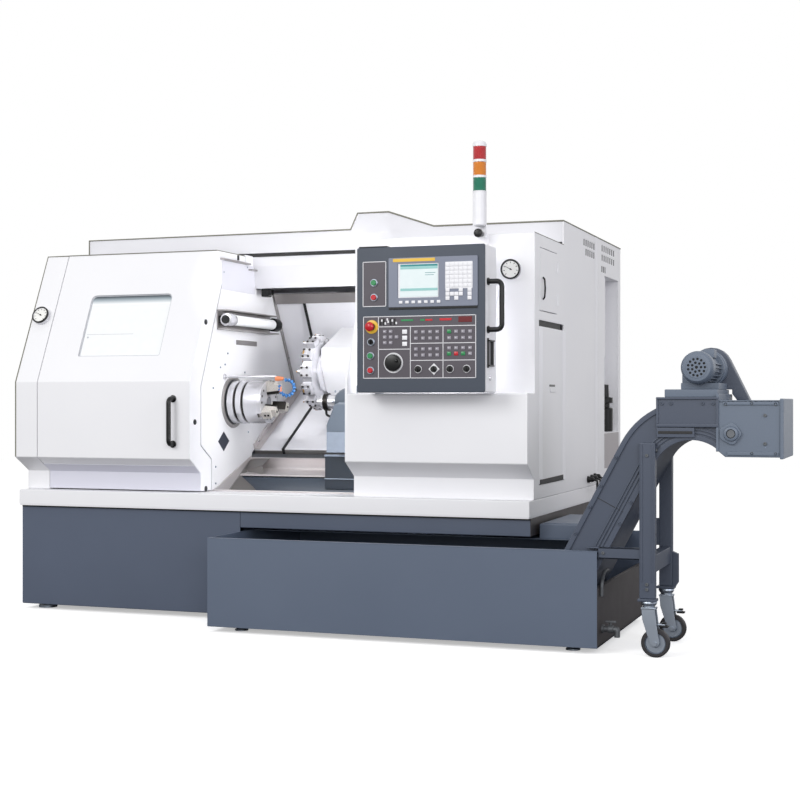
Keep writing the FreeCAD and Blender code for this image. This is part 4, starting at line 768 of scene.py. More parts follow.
dress("cable_glands", "machine", black_plastic, [
    turned([(0, 17), (10, 17), (14, 13), (30, 13), (34, 9), (34, 0)], "x",
           (2572, along, 622 + 4 * k), 12)
    for k, along in enumerate((1120, 1195, 1270))] + [
    tube([(2600, along, 622 + 4 * k), (2622, along, 618), (2622, along, 560)], 6, 10)
    for k, along in enumerate((1120, 1195, 1270))])


# %% Service doors
def hinge_leaves(back, lows, height):
    """Leaves on a door's face, each with a knuckle just outside the wall."""
    return [shape for low in lows for shape in (
        block((2572, back - 30, low), (2573.6, back, low + height), 0.6),
        turned([(low, 0), (low, 3), (low + height, 3), (low + height, 0)], "z", (2575, back, 0),
               12))]


dress("upper_service_door", "upper_hatch", white_enamel, [
    slab(rectangle(158, 472, 1418, 1694, 5), 2564.5, 2573, edge=1.5),
] + hinge_leaves(475, (1455, 1607), 50), "side_door_upper")
dress("upper_door_handle", "upper_hatch", black_plastic, [
    tube([(2573, 205, 1468), (2582, 201, 1476), (2585, 200, 1517), (2582, 201, 1558),
          (2573, 205, 1566)], 4, 14),
])
dress("lower_service_door", "lower_hatch", white_enamel, [
    slab(rectangle(142, 608, 648, 1347, 5), 2564.5, 2573, edge=1.5),
    slab([(2572, 143), (2583, 164), (2583, 168), (2572, 170)], 672, 1342, "z", edge=0.8),
    slab([(2572, 576), (2583, 600), (2583, 604), (2572, 607)], 650, 1342, "z", edge=0.8),
] + hinge_leaves(611, (725, 1210), 60), "side_door_lower")
# A black strip at the lower door's foot is painted shadow in the slot below it.
dress("lower_door_seal", "lower_hatch", black_rubber, [
    slab([(150, 648), (590, 648), (590, 672), (150, 668)], 2573, 2575.5, edge=0.8)])
dress("lower_door_latch", "lower_hatch", pale_plastic, [
    slab(rectangle(335, 430, 1056, 1078, 4), 2573, 2577, edge=1.5)], slot="zinc_steel")
# A black block on the latch is painted shade in its slot.
dress("lower_door_latch_slot", "lower_hatch", black_plastic, [
    block((2573, 325, 1082), (2576, 420, 1091), 1)])
dress("service_door_shadows", "machine", black_rubber, [
    block((2555, 139, 1346), (2568, 548, 1376), 1),
])

# %% [markdown]
# ## Roof, fascia and hood
# A fascia runs above the opening, the header under it is set back behind a dark gap, and
# a hood over the middle makes room for the turret's hoses.

# %% Roof, fascia, header and hood
# The housing's white is darker than the covers' as painted shade.
dress("rear_housing_sheets", "machine", shaded_housing_enamel, [
    slab([(607, 1766), (607, 1865), (1960, 1865), (1960, 586), (1952, 586), (1952, 1857),
          (615, 1857), (615, 1766)], 8, 2564, edge=2, bend=[0, 5, 5, 0, 0, 3, 3, 0]),
    slab([(618, 1752), (618, 1700), (644, 1590), (652, 1590), (627, 1702), (627, 1752)], 943, 2400,
         edge=1.5, bend=[0, 6, 0, 0, 6, 0]),
    slab([(1488, 1846), (1494, 1866), (1531, 1945), (1694, 1945), (1928, 1866), (1960, 1846)],
         606.4, 1150, "y", edge=0.8),
    slab(rectangle(120, 1230, 1866, 1868.5, 1), 700, 1880, "y", edge=1),
    slab(rectangle(1262, 1450, 1866, 1868.5, 1), 700, 1880, "y", edge=1),
    block((300, 1954, 700), (1200, 1959.5, 1780), 2),
    block((1230, 1954, 700), (2260, 1959.5, 1780), 2),
], "rear_housing")
# Olive lines along the roof, the wall top and the left strip's edge are painted shade on those
# rounded edges.
dress("roof_seals", "machine", edge_shade_trim, [
    tube([(4.2, 606, 1748), (4.2, 606, 1865), (1494, 605, 1866), (1531, 605, 1945),
          (1694, 605, 1945), (1928, 605, 1866), (2571, 606, 1865), (2571, 1957, 1865)], 4, steps=1),
    tube([(2571, 68, 1752), (2571, 604, 1752)], 2, steps=1),
    tube([(3.8, -60, 746), (3.8, -60, 1109), (3.8, 222, 1744), (124, 222, 1744)], 3.4, steps=1)])
# A black block fills the gap under the fascia as painted shadow.
dress("header_gap", "machine", black_rubber, [
    block((943, 612, 1748), (1722, 634, 1768), 1)])
repeat_item("rear_panel_screws", "machine", zinc_steel, cap_screw(7, 4),
            [((along, 1956, up), OUT_BACK) for along in (320, 750, 1180, 1250, 1745, 2240)
             for up in (720, 1240, 1760)])

# %% [markdown]
# ## Machining chamber
# Inside the opening the left wall is a white plate with the chuck's nose through it. Small
# fittings sit on it: the lamp, a track for the door, a blank plate and a few screws.

# %% Chamber walls
def slanted(up_slant, off_slant):
    """A point of the slanted frame as (back, up) in the drawing's frame."""
    turn = math.radians(SLANT_DEGREES)
    return (SPINDLE_BACK + up_slant * math.cos(turn) - off_slant * math.sin(turn),
            SPINDLE_UP + up_slant * math.sin(turn) + off_slant * math.cos(turn))


bed_foot = slanted(60, -331)
rear_edge = [(slanted(693, 255)[0], 1588), slanted(693, -331), bed_foot, (bed_foot[0], 586)]
dress("chamber_wall_plates", "machine", white_enamel, [
    slab(cover_profile(114, 586) + [(605, 1631), (605, 1588)] + rear_edge, 943, 955,
         holes=[circle(SPINDLE_BACK, SPINDLE_UP, 112, 48)], edge=1.5),
    slab(rectangle(534, 642, 1620, 1752), 943, 955, edge=1.5),
    slab([(164, 586), (164, 1588)] + rear_edge, 2400, 2408, edge=1.5),
], "chamber_walls")
dress("wall_top_plate", "machine", plate_enamel, [
    slab(rectangle(268, 640, 1560, 1702, 6), 954, 957, edge=1)])
dress("wall_fittings", "machine", dark_sheet, [
    block((955, 248, 1702), (975, 556, 1710), 1), block((955, 560, 1676), (978, 640, 1682), 1),
    turned([(955, 128), (959, 128), (963, 118), (963, 112)], "x", (0, SPINDLE_BACK, SPINDLE_UP),
           48),
])
dress("wall_blocks", "machine", black_plastic, [
    block((985, 650, 1548), (1022, 700, 1590), 4),
    block((1018, 656, 1556), (1038, 690, 1584), 3),
])
dress("blank_plate", "machine",
      moulded("dark navy label foil", "slate_enamel", "#2c3040", "#262a38", 0.5), [
          slab([(227, 821), (286, 772), (345, 821), (286, 868)], 955, 957, edge=0.5)])
repeat_item("wall_screws", "machine", zinc_steel, cap_screw(5, 4),
            [((955, back, up), OUT_RIGHT) for back, up in
             ((174, 1079), (250, 1180), (330, 1250), (300, 1195), (334, 1046), (286, 1645),
              (547, 1690), (636, 1660), (200, 700), (200, 620), (520, 1160), (560, 860))])
dress("small_label_plate", "machine", dark_sheet, [
    slab(rectangle(423, 660, 1296, 1320, 3), 955, 957, edge=0.5)])

# %% [markdown]
# ## Work light
# The lamp is a frosted tube between black sockets, clamped in a shallow steel channel.

# %% Work light
LIGHT_AXIS = (1000, 0, 1410)
dress("light_sockets", "machine", black_plastic, [
    turned([(214, 0), (214, 20), (222, 22), (236, 22), (236, 0)], "y", LIGHT_AXIS, 32),
    turned([(748, 0), (748, 28), (756, 34), (804, 34), (810, 28), (810, 0)], "y", LIGHT_AXIS, 32),
    block((962, 224, 1392), (990, 250, 1428), 3), block((962, 770, 1392), (990, 800, 1428), 3),
], "work_light")
dress("light_tube", "machine", lamp_tube, [
    turned([(300, 0), (300, 26), (748, 26), (748, 0)], "y", LIGHT_AXIS, 32, bend=2)])
dress("light_rings", "machine", turned_steel, [
    turned([(220, 21), (222, 30), (234, 33), (240, 29), (256, 33), (262, 29), (280, 32), (290, 28),
            (300, 27)],
           "y", LIGHT_AXIS, 32)])
dress("light_channel", "machine", dark_sheet, [
    block((955, 214, 1452), (1012, 812, 1458), 1), block((955, 214, 1362), (1012, 812, 1368), 1),
    block((955, 214, 1362), (960, 812, 1458), 1)])

# %% [markdown]
# ## Telescopic way covers
# Three layers of polished sheet slide over each other. Each is an L: a slanted sheet that
# ends in a front lip, and a back sheet square to it. A black wiper seals every free edge.


# %% Way covers
LAYER_STEP = 7.5  # from one layer of sheet to the one that slides over it


def layer_lines(layer):
    """Height of a layer's slanted sheet, and where it ends at the back and at the front."""
    return -331 + LAYER_STEP * layer, 693 - LAYER_STEP * layer, 86 - LAYER_STEP * layer


def cover_sheet(layer, left, right):
    up, back, front = layer_lines(layer)
    return slab([(front, up - 34), (front, up), (back, up), (back, 255), (back + 5, 255),
                 (back + 5, up - 5), (front + 5, up - 5), (front + 5, up - 34)], left, right,
                edge=0.8, bend=[0, 6, 3, 0, 0, 5, 3, 0])


def cover_lip(layer, left, right):
    up, _, front = layer_lines(layer)
    return slab(rectangle(front - 1.2, front + 0.4, up - 34, up - 3), left + 0.5, right - 0.5,
                edge=0.4)


def wiper(layer, left, right):
    up, back, front = layer_lines(layer)
    return slab([(front - 3, up - 36), (front - 3, up + 4), (back - 4, up + 4), (back - 4, 252),
                 (back + 1, 252), (back + 1, up - 1), (front + 2, up - 1), (front + 2, up - 36)],
                left, right, edge=1.2, bend=2)


dress("way_cover_fixed", "machine", cover_steel,
      [cover_sheet(0, 957, 1310), cover_sheet(0, 2060, 2395)], "way_covers", SLANT)
# The second strip, a dark band across the tops of the back sheets, is painted shade under the
# header.
dress("way_cover_wall_strip", "machine", dark_sheet,
      [slab(rectangle(670, 700, -329, 250), 956, 962, edge=1),
       slab(rectangle(668, 673, 206, 262), 968, 2395, edge=1)], drawn_in=SLANT)
dress("way_cover_floor_strip", "machine", pan_steel,
      [slab(rectangle(88, 670, -329, -300), 956, 962, edge=1),
       slab(rectangle(88, 690, -329, -325), 962, 990, edge=1)], drawn_in=SLANT)
# Dark skins on the covers' front lips are painted shade.
for name, body, lips in (("fixed", "machine", [(0, 957, 1310), (0, 2060, 2395)]),
                         ("middle", "middle_cover", [(1, 1130, 1320), (1, 1880, 2200)]),
                         ("saddle", "saddle_unit", [(2, 1125, 1935)])):
    dress(f"{name}_cover_lips", body, dark_sheet, [cover_lip(*lip) for lip in lips],
          drawn_in=SLANT)
dress("way_cover_middle_sheets", "middle_cover", cover_steel,
      [cover_sheet(1, 1130, 1320), cover_sheet(1, 1880, 2200)], "way_cover_middle", SLANT)
dress("way_cover_middle_wipers", "middle_cover", black_rubber,
      [wiper(1, 1128, 1140), wiper(1, 2190, 2204)], drawn_in=SLANT)
saddle_window = slab(rectangle(1338.5, 1629.5, 299.5, 600.5, 2), -360, -290, "z", edge=0.5)
dress("saddle_cover_sheet", "saddle_unit", cover_steel, [cover_sheet(2, 1125, 1935)],
      "saddle_cover", SLANT, carve=saddle_window)
dress("saddle_cover_wipers", "saddle_unit", black_rubber,
      [wiper(2, 1119, 1134), wiper(2, 1926, 1941)], drawn_in=SLANT)
repeat_item("wall_strip_bolts", "machine", bright_steel, cap_screw(6, 5),
            [((962, 680, off), OUT_RIGHT) for off in (-270, -120, 40, 200)]
            + [((962, along, -311), OUT_RIGHT) for along in (140, 320, 500)], drawn_in=SLANT)

# %% [markdown]
# ## Chip chute
# Below the covers a dull steel pan leads chips to the trough. A slate guard stands in
# front of the tailstock, and a grey gusset fills the corner by the left wall.

# %% Chip chute
def facet(*corners):
    """A flat piece of sheet between corners in space."""
    shape = bmesh.new()
    shape.faces.new([shape.verts.new(corner) for corner in corners])
    bmesh.ops.recalc_face_normals(shape, faces=shape.faces)
    bmesh.ops.solidify(shape, geom=shape.faces[:], thickness=1.5)
    return shape


dress("chute_pan", "machine", pan_steel, [
    slab([(450, 640), (450, 652), (582, 681), (582, 702), (566, 730), (571, 733), (588, 703),
          (588, 674), (458, 646), (458, 640)], 956, 2398, edge=1),
    slab([(166, 587), (166, 593), (200, 522), (200, 512), (196, 512)], 956, 2398, edge=0.8),
    slab([(168, 590), (200, 512), (430, 512), (452, 586), (452, 650), (590, 682), (590, 740)], 956,
         962, edge=1),
], "chip_chute")
dress("chute_front", "machine", tail_enamel, [
    slab([(438, 512), (458, 587), (458, 646), (450, 646), (450, 589), (430, 512)], 962, 2398,
         edge=1)])
dress("chute_gusset", "machine", gusset_steel, [
    facet((957, 323, 573), (957, 580, 722), (978, 500, 671), (1068, 460, 571)),
    facet((1068, 460, 571), (978, 500, 671), (1079, 470, 696), (1101, 459, 566)),
    facet((957, 580, 722), (1086, 540, 728), (1079, 470, 696), (978, 500, 671))])
dress("chute_gusset_edge", "machine", dark_sheet, [
    tube([(959, 323, 575), (959, 582, 725)], 5, steps=1),
    tube([(1068, 459, 573), (978, 499, 672)], 2.5, steps=1)])
dress("tailstock_guard", "machine",
      powder_coat("deep slate paint", "slate_enamel", "#2f3742", "#29313b", 0.35), [
          slab(rectangle(1425, 2390, 588, 757, 3), 440, 449, "y", edge=2),
          slab([(436, 752), (436, 758), (452, 758), (452, 752)], 1425, 2390, edge=1),
          block((1425, 432, 636), (2390, 441, 642), 1)])
# The pale strip on the guard's top and the thin line below are painted highlights.
dress("guard_rail", "machine",
      moulded("pale slate painted highlight", "white_enamel", "#aab6c7", "#97a4b6", 0.25), [
          slab(rectangle(1425, 2390, 747, 757, 2), 434, 440, "y", edge=1),
          block((1425, 431, 637), (2390, 434, 641), 1)])

# %% [markdown]
# ## Spindle and chuck
# The power chuck is a turned steel drum with two dark grooves, three slots, top jaws and
# bolts round its face. The jaws are stepped and sit on serrated keys.

# %% Chuck
JAW_TURN = 10.0


def spoke(turn, radius):
    """A point at a radius, turned from straight up towards the operator."""
    angle = math.radians(turn)
    return -radius * math.sin(angle), radius * math.cos(angle)


face_outline = []
for step in range(3):
    turn = JAW_TURN + 120 * step
    cos_turn, sin_turn = math.cos(math.radians(turn)), math.sin(math.radians(turn))
    for side, radius in ((-1, 104), (-1, 31), (1, 31), (1, 104)):
        across, up = spoke(turn, radius)
        face_outline.append((across - 12.2 * side * cos_turn, up - 12.2 * side * sin_turn))
    face_outline += [spoke(turn + 7 + (106 * part / 12), 105) for part in range(13)]
dress("chuck_body", "spindle_unit", turned_steel, [
    turned([(967.5, 26), (967.5, 100), (971, 105), (1002, 105), (1004, 98), (1014, 98), (1016, 105),
            (1044, 105), (1046, 98), (1056, 98), (1058, 105), (1127, 105), (1127, 26)], "x",
           steps=72, loop=True),
    slab(face_outline, 1127, 1150, holes=[circle(0, 0, 26, 32)], edge=1.2),
], "chuck", SPINDLE)
dress("chuck_groove_shade", "spindle_unit", black_steel, [
    turned([(1003.5, 98), (1003.5, 101), (1014.5, 101), (1014.5, 98)], "x", steps=72, loop=True),
    turned([(1045.5, 98), (1045.5, 101), (1056.5, 101), (1056.5, 98)], "x", steps=72, loop=True),
    turned([(1126, 30), (1127.4, 104), (1127.4, 26)], "x", steps=48)], drawn_in=SPINDLE)
repeat_item("chuck_bolts", "spindle_unit", black_steel, cap_screw(6.5, 2),
            [((1149.5, *spoke(JAW_TURN + 60 + 120 * k + side, 82)), OUT_RIGHT)
             for k in range(3) for side in (-22, 0, 22)], drawn_in=SPINDLE)
for index, body in enumerate(("top_jaw", "front_jaw", "rear_jaw")):
    jaw_frame = SPINDLE @ Matrix.Rotation(math.radians(JAW_TURN + 120 * index), 4, "X")
    dress(f"jaw_{index + 1}_steps", body, jaw_steel, [
        slab([(1150.5, 52), (1218, 60), (1218, 88), (1196, 88), (1194, 101), (1150.5, 104)],
             -21, 21, "y", edge=1.2),
        block((1129, -11.6, 36), (1151.5, 11.6, 94), 0.8),
    ], f"jaw_{index + 1}", jaw_frame)
    # A black slab under each jaw's step is painted shade below the jaw.
    dress(f"jaw_{index + 1}_grip", body, black_steel, [
        slab([(1150.5, 38), (1214, 44), (1214, 58), (1150.5, 53)], -19, 19, "y", edge=1)],
          drawn_in=jaw_frame)
    repeat_item(f"jaw_{index + 1}_bolts", body, black_steel, cap_screw(6, 3),
                [((1166, 0, 102), OUT_UP), ((1182, 0, 101), OUT_UP), ((1218, 0, 74), OUT_RIGHT)],
                drawn_in=jaw_frame)

# %% [markdown]
# ## Turret
# Twelve flats carry tool blocks. Boring bars point to the chuck, turning tools stand outward.
# The blocks are bright, their clamps are blackened and also paint shade on the blocks' sides,
# and the inserts are brass coloured.

# %% Turret housing and disc
dress("turret_housing", "turret_head", white_enamel, [
    slab([(262, -95), (600, -95), (600, 96), (310, 130), (262, 52)], 1339, 1634, edge=6),
    slab(rectangle(262, 590, -129, -94), 1346, 1622, edge=2),
    turned([(1633, 0), (1633, 62), (1774, 62), (1779, 56), (1779, 0)], "x", (0, 430, 15), 32),
], "turret_slide", SLANT)
dress("turret_neck", "turret_head", turned_steel, [
    turned([(1331, 0), (1331, 95), (1340, 95), (1340, 0)], "x", (0, 300, 0), 48)], drawn_in=SLANT)
STATIONS = 12
flat_corner = 150 / math.cos(math.pi / STATIONS)
corner_turns = [math.pi * (2 * k + 1) / STATIONS for k in range(STATIONS)]
disc_outline = [(flat_corner * math.cos(t), flat_corner * math.sin(t)) for t in corner_turns]
dress("turret_disc_body", "turret_wheel", bright_steel, [
    slab(disc_outline, 1279, 1330, edge=3),
    turned([(1265, 0), (1265, 54), (1269, 60), (1279, 62)], "x", steps=48),
    turned([(1259, 0), (1259, 22), (1265, 26)], "x", steps=32),
], "turret_disc", TURRET)


def station(turn, shape):
    return moved(shape, Matrix.Rotation(math.radians(turn), 4, "X"))


tool_blocks, clamps, bars, inserts = [], [], [], []
for k in range(STATIONS):
    turn = 30 * k
    tool_blocks.append(station(turn, slab(
        [(150.3, -29), (182, -29), (182, 29), (150.3, 29)], 1279, 1328, edge=2, bend=3)))
    clamps.append(station(turn, block((1274, 152, -14), (1280, 176, 14), 2)))
    if k % 2:
        bars.append(station(turn, turned(
            [(1258, 0), (1258, 8), (1268, 8), (1270, 13), (1280, 13)], "x", (0, 165, 0), 20)))
        inserts.append(station(turn, block((1257, 168, -3), (1263, 175, 3), 0.6)))
    else:
        bars.append(station(turn, block((1292, 181, -12), (1316, 191, 12), 1)))
        inserts.append(station(turn, block((1288, 184, -9), (1297, 192, 9), 0.6)))
    inserts.append(station(turn, turned([(1266, 0), (1266, 5), (1279, 6)], "x", (0, 128, 12), 12)))
dress("tool_blocks", "turret_wheel", bright_steel, tool_blocks, "tool_holders", TURRET,
      slot="black_oxide_steel")
# The black clamps are blackened parts that also paint the dark shade on the blocks' sides.
dress("tool_clamps", "turret_wheel", black_steel, clamps, drawn_in=TURRET)
dress("boring_bars", "turret_wheel", turned_steel, bars, drawn_in=TURRET)
dress("cutting_inserts", "turret_wheel", brass, inserts, drawn_in=TURRET)
repeat_item("tool_block_screws", "turret_wheel", black_steel, cap_screw(6, 5),
            [((along, 182 * math.cos(t) - side * math.sin(t),
               182 * math.sin(t) + side * math.cos(t)),
              (0, math.cos(t), math.sin(t)))
             for t in [math.radians(30 * k) for k in range(STATIONS)]
             for along in (1289, 1318) for side in (-19, 19)], drawn_in=TURRET, slot="zinc_steel")
repeat_item("disc_face_bolts", "turret_wheel", black_steel, cap_screw(7, 4),
            [((1279, 100 * math.cos(t), 100 * math.sin(t)), OUT_LEFT)
             for t in [math.radians(30 * k + 15) for k in range(STATIONS)]], drawn_in=TURRET)

# %% [markdown]
# ## Tailstock
# A round casting painted slate holds the quill, and a live centre turns in it.

# %% Tailstock
dress("tailstock_casting", "tailstock_unit", tail_coat, [
    moved(turned([(1511, 36), (1511, 38), (1518, 46), (1541, 62), (1590, 80), (1645, 88),
                  (1790, 88), (1800, 80), (1800, 36)], "x", steps=64, loop=True), SLANT_IN_DRAWING),
    moved(slab([(-72, 0), (-72, -250), (-60, -337), (60, -337), (60, 0), (48, -20), (-48, -20)],
               1525, 1790, edge=4), SLANT_IN_DRAWING),
    slab([(1490, 769), (1490, 902), (1529, 998), (1556, 1012), (1790, 1012), (1790, 769)], 300, 400,
         "y", edge=7),
], "tailstock")
# A pale plate on the casting's lower front is painted sheen, lighter than the slate above.
dress("tailstock_wipe", "tailstock_unit",
      moulded("pale slate painted sheen", "slate_enamel", "#929cab", "#818b9a", 0.3), [
          slab([(1493, 772), (1493, 868), (1786, 868), (1786, 772)], 297, 301, "y", edge=1.5)])
dress("tailstock_hook", "tailstock_unit", black_plastic, [
    tube([(1500, 372, 1005), (1458, 372, 1000), (1462, 372, 950), (1486, 372, 940)], 6, 14)])
dress("quill_ring", "quill_unit", black_steel, [
    turned([(1449, 35.2), (1449, 43), (1470, 43), (1470, 35.2)], "x", steps=40, loop=True)],
      drawn_in=SPINDLE, slot="ground_steel")
dress("quill_body", "quill_unit", turned_steel, [
    turned([(1430, 12.6), (1430, 27), (1434, 35), (1710, 35), (1710, 12.6)], "x", steps=48,
           loop=True)],
    "quill", SPINDLE)
dress("centre_point_body", "centre_point", bright_steel, [
    turned([(1390, 0), (1412, 12), (1414, 24), (1428.5, 24), (1428.5, 12), (1460, 12), (1460, 0)],
           "x", steps=40)], "live_centre", SPINDLE)
repeat_item("tailstock_bolts", "tailstock_unit", zinc_steel, cap_screw(6, 5),
            [((1515, 58 * math.cos(t), 58 * math.sin(t)), OUT_LEFT)
             for t in [math.pi * (2 * k + 1) / 6 for k in range(6)]], drawn_in=SLANT)

# %% [markdown]
# ## Coolant hose
# A hose of snapped ball links holds its own shape. Each link is a small flared bead, set
# along a ring at one even pitch, and an orange nozzle joins it to its pipe.

# %% Coolant hose
RING_ALONG, RING_UP, RING_RADIUS, HOSE_BACK = 1291, 1080, 38, 290
LINK_TURN = 24  # degrees of the ring that each link takes
ring_turns = [math.radians(100 - LINK_TURN * k) for k in range(14)]
ring_path = [(RING_ALONG + RING_RADIUS * math.cos(t), HOSE_BACK,
              RING_UP + RING_RADIUS * math.sin(t))
             for t in ring_turns]
links = [(spot, tuple((Vector(following) - Vector(spot)).normalized()))
         for spot, following in zip(ring_path, ring_path[1:])]
repeat_item("hose_links", "machine", blue_plastic,
            turned([(-5, 0), (-5, 5), (-2, 9), (3, 9.5), (7, 6), (9, 5), (9, 0)], "z", steps=12),
            links)
dress("hose_pipe", "machine", turned_steel, [
    tube([(955, HOSE_BACK, 1135), (1236, HOSE_BACK, 1135)], 5.5, 0),
    turned([(955, 14), (962, 14), (966, 10), (966, 0)], "x", (0, HOSE_BACK, 1135), 16),
], "coolant_hose")
dress("hose_nozzle", "machine", orange_plastic, [
    turned([(1232, 0), (1232, 11), (1246, 12), (1262, 9), (1270, 9), (1270, 0)], "x",
           (0, HOSE_BACK, 1124), 16),
    turned([(0, 0), (0, 7), (26, 4), (26, 0)], "z", (1259, 288, 1062), 12)])

# %% [markdown]
# ## Gauges and signal tower
# Two dial gauges are set in the covers: a chrome rim, a white card with plain marks, and a
# dark needle. The tower stacks three lenses on a white tube.


# %% Gauges
def gauge_frame(along, back, up, lean=0.0):
    leaning = Matrix.Rotation(-math.radians(lean), 4, "X")
    return (MACHINE @ Matrix.Translation((along, back, up)) @ leaning
            @ Matrix.Rotation(math.radians(90), 4, "X"))


for name, place, stands_for in (("left", (62, 83.7, 1433, 23.9), "gauges"),
                                ("right", (2468, 66, 1592), ())):
    drawn = gauge_frame(*place)
    dress(f"{name}_gauge_rim", "machine", turned_steel, [
        turned([(0, 0), (0, 44), (22, 44), (27, 42), (27, 38), (20, 36), (20, 0)], "z", steps=48)],
        stands_for, drawn, slot="chrome_plate")
    dress(f"{name}_gauge_card", "machine", dial_paper, [
        turned([(20, 0), (20, 36), (21.5, 36), (21.5, 0)], "z", steps=48)], drawn_in=drawn)
    marks = [moved(block((-1.2, 26, 21), (1.2, 33, 22.2), 0.3),
                   Matrix.Rotation(math.radians(-135 + 33.75 * k), 4, "Z")) for k in range(9)]
    needle = moved(slab([(-1.6, -8), (1.6, -8), (0.6, 28), (-0.6, 28)], 22.5, 24, "z", edge=0.3),
                   Matrix.Rotation(math.radians(62), 4, "Z"))
    dress(f"{name}_gauge_marks", "machine", black_plastic,
          marks + [needle, turned([(22, 0), (22, 4), (25, 3), (25, 0)], "z", steps=16),
                   turned([(18, 44.3), (26, 44.2), (28, 42), (28, 38.5), (26, 37)], "z", steps=48)],
          drawn_in=drawn)

# %% Signal tower
TOWER_FOOT, FOLD_PIN = (2340, 4, 0), (2340, 0, 1748)
dress("tower_tube", "signal_tower", pale_plastic, [
    turned([(1780, 0), (1780, 24), (1784, 30.5), (1928, 30.5), (1931, 28), (1931, 0)], "z",
           TOWER_FOOT, 48),
    turned([(2128, 0), (2128, 30.5), (2141, 30.5), (2147, 26), (2150, 20), (2150, 0)], "z",
           TOWER_FOOT, 48),
    slab([(2320, 1728), (2360, 1728), (2360, 1790), (2320, 1790)], 30, 44, "y", edge=2, bend=8),
    turned([(43, 14), (59, 14)], "y", FOLD_PIN, 24),
], "tower_mast")
dress("tower_knob", "signal_tower", black_plastic, [
    turned([(-26, 0), (-26, 15), (-23, 19), (-8, 19), (-4, 16), (31, 12)], "y", FOLD_PIN, 20),
    turned([(-27, 0), (-27, 6), (-26, 7)], "y", FOLD_PIN, 16)])
for index, (low, finish) in enumerate(((1933, green_lens), (2001, amber_lens), (2070, red_lens))):
    ribs = [(low, 0), (low, 28.5)]
    for k in range(11):
        ribs += [(low + 2 + 5 * k, 29.4), (low + 4.5 + 5 * k, 28.4)]
    ribs += [(low + 57, 28.5), (low + 57, 0)]
    dress(f"tower_lens_{index + 1}", "signal_tower", finish,
          [turned(ribs, "z", TOWER_FOOT, 40)], "tower_lenses" if index == 0 else ())
dress("tower_spacers", "signal_tower", pale_plastic, [
    turned([(low, 0), (low, 30.4), (high, 30.4), (high, 0)], "z", TOWER_FOOT, 40)
    for low, high in ((1930, 1933), (1990.5, 2000.5), (2059, 2069.5), (2127, 2129))])

# %% [markdown]
# ## Operator panel
# A white box with a slate front swings on the post. The control unit is a pale frame with
# a screen, soft keys and a letter block; below it a brown-grey foil carries the machine's
# own keys, dials and buttons, framed by thin light lines. Nothing on it is written.

# %% Panel box
dress("panel_housing", "operator_panel", white_enamel, [
    slab(rectangle(1851, 2431, 1052, 1680, 8), -210, -50, "y", edge=3),
    block((1863, -52, 1092), (1907, -8, 1142), 3), block((1863, -52, 1592), (1907, -8, 1642), 3),
], "panel_box")
dress("panel_top_bracket", "operator_panel", black_plastic, [
    block((1858, -214, 1679), (1990, -176, 1685), 2)])
button_holes = [circle(1916, 1211, 13.2, 24), circle(1916, 1148, 13.2, 24),
                circle(1918, 1337, 10.5, 24)]
dress("panel_front", "operator_panel", panel_enamel, [
    slab(rectangle(1852, 2430, 1053, 1679, 8), -220, -209, "y", button_holes, edge=3)])
dress("panel_foil", "operator_panel", foil_enamel, [
    slab(rectangle(1884, 2390, 1115, 1379, 2), -221, -219, "y", button_holes, 0.4),
    slab(rectangle(1882, 1986, 1425, 1616, 2), -221, -219, "y", edge=0.4)])
line_width = 3


def panel_line(left, right, low, high):
    return block((left, -222.2, low), (right, -220.5, high), 0.4)


def line_frame(left, right, low, high):
    return [panel_line(left, right, low, low + line_width),
            panel_line(left, right, high - line_width, high),
            panel_line(left, left + line_width, low, high),
            panel_line(right - line_width, right, low, high)]


lines = line_frame(1882, 2392, 1113, 1381) + line_frame(1880, 1988, 1423, 1618)
lines += [panel_line(x, x + line_width, 1113, top)
          for x, top in ((1951, 1381), (2097, 1336), (2244, 1336))]
lines += [panel_line(1951, 2392, 1334, 1337), panel_line(1951, 2099, 1237, 1240),
          panel_line(2099, 2392, 1261, 1264), panel_line(2099, 2392, 1188, 1191)]
dress("panel_lines", "operator_panel", pale_plastic, lines)

# %% Control unit and screen
dress("control_unit_frame", "operator_panel", unit_enamel, [
    slab(rectangle(2000, 2400, 1418, 1630, 5), -226, -219, "y",
         [rectangle(2042, 2226, 1458, 1604, 3)], 1.5)], "control_unit")
dress("control_unit_shade", "operator_panel", black_plastic, [
    block((2000, -223, 1408), (2398, -219, 1419), 1)])
dress("control_unit_plate", "operator_panel", pale_plastic, [
    slab(rectangle(2257, 2378, 1492, 1606, 3), -227.5, -225.5, "y", edge=0.5),
    slab(rectangle(2043, 2227, 1457, 1605, 3), -222, -219, "y", edge=0.5)])
dress("screen", "operator_panel", screen_glow, [
    slab(rectangle(2052, 2223, 1461, 1601, 2), -223.5, -221, "y", edge=0.4)])
dress("screen_bands", "operator_panel", screen_teal, [
    block((2054, -224.2, 1592), (2222, -223, 1600), 0.3),
    block((2165, -224.2, 1562), (2212, -223, 1564), 0.3),
    block((2165, -224.2, 1553), (2205, -223, 1555), 0.3)])
dress("screen_band_pale", "operator_panel",
      moulded("pale teal screen field", "blue_plastic", "#9cd0cd", "#90c5c2", 0.2), [
          block((2054, -224.2, 1580), (2222, -223, 1592), 0.3),
          block((2054, -224.2, 1487), (2222, -223, 1498), 0.3)])
dress("unit_strip", "operator_panel", yellow_plastic, [
    block((2021, -227, 1612), (2211, -225.5, 1626), 0.5)])
repeat_item("soft_keys", "operator_panel", key_plastic, block((-8, -6, 0), (8, 6, 4), 1.5),
            [((2057 + 28.5 * k, -226, 1439), OUT_FRONT) for k in range(7)])
letter_places = [(2268 + 19.5 * c, 1452 + 17.8 * r) for c in range(6) for r in range(9)
                 if not (r == 0 and c in (1, 3, 4)) and not (r == 2 and c in (1, 2, 4))
                 and not (r == 1 and c == 4)]
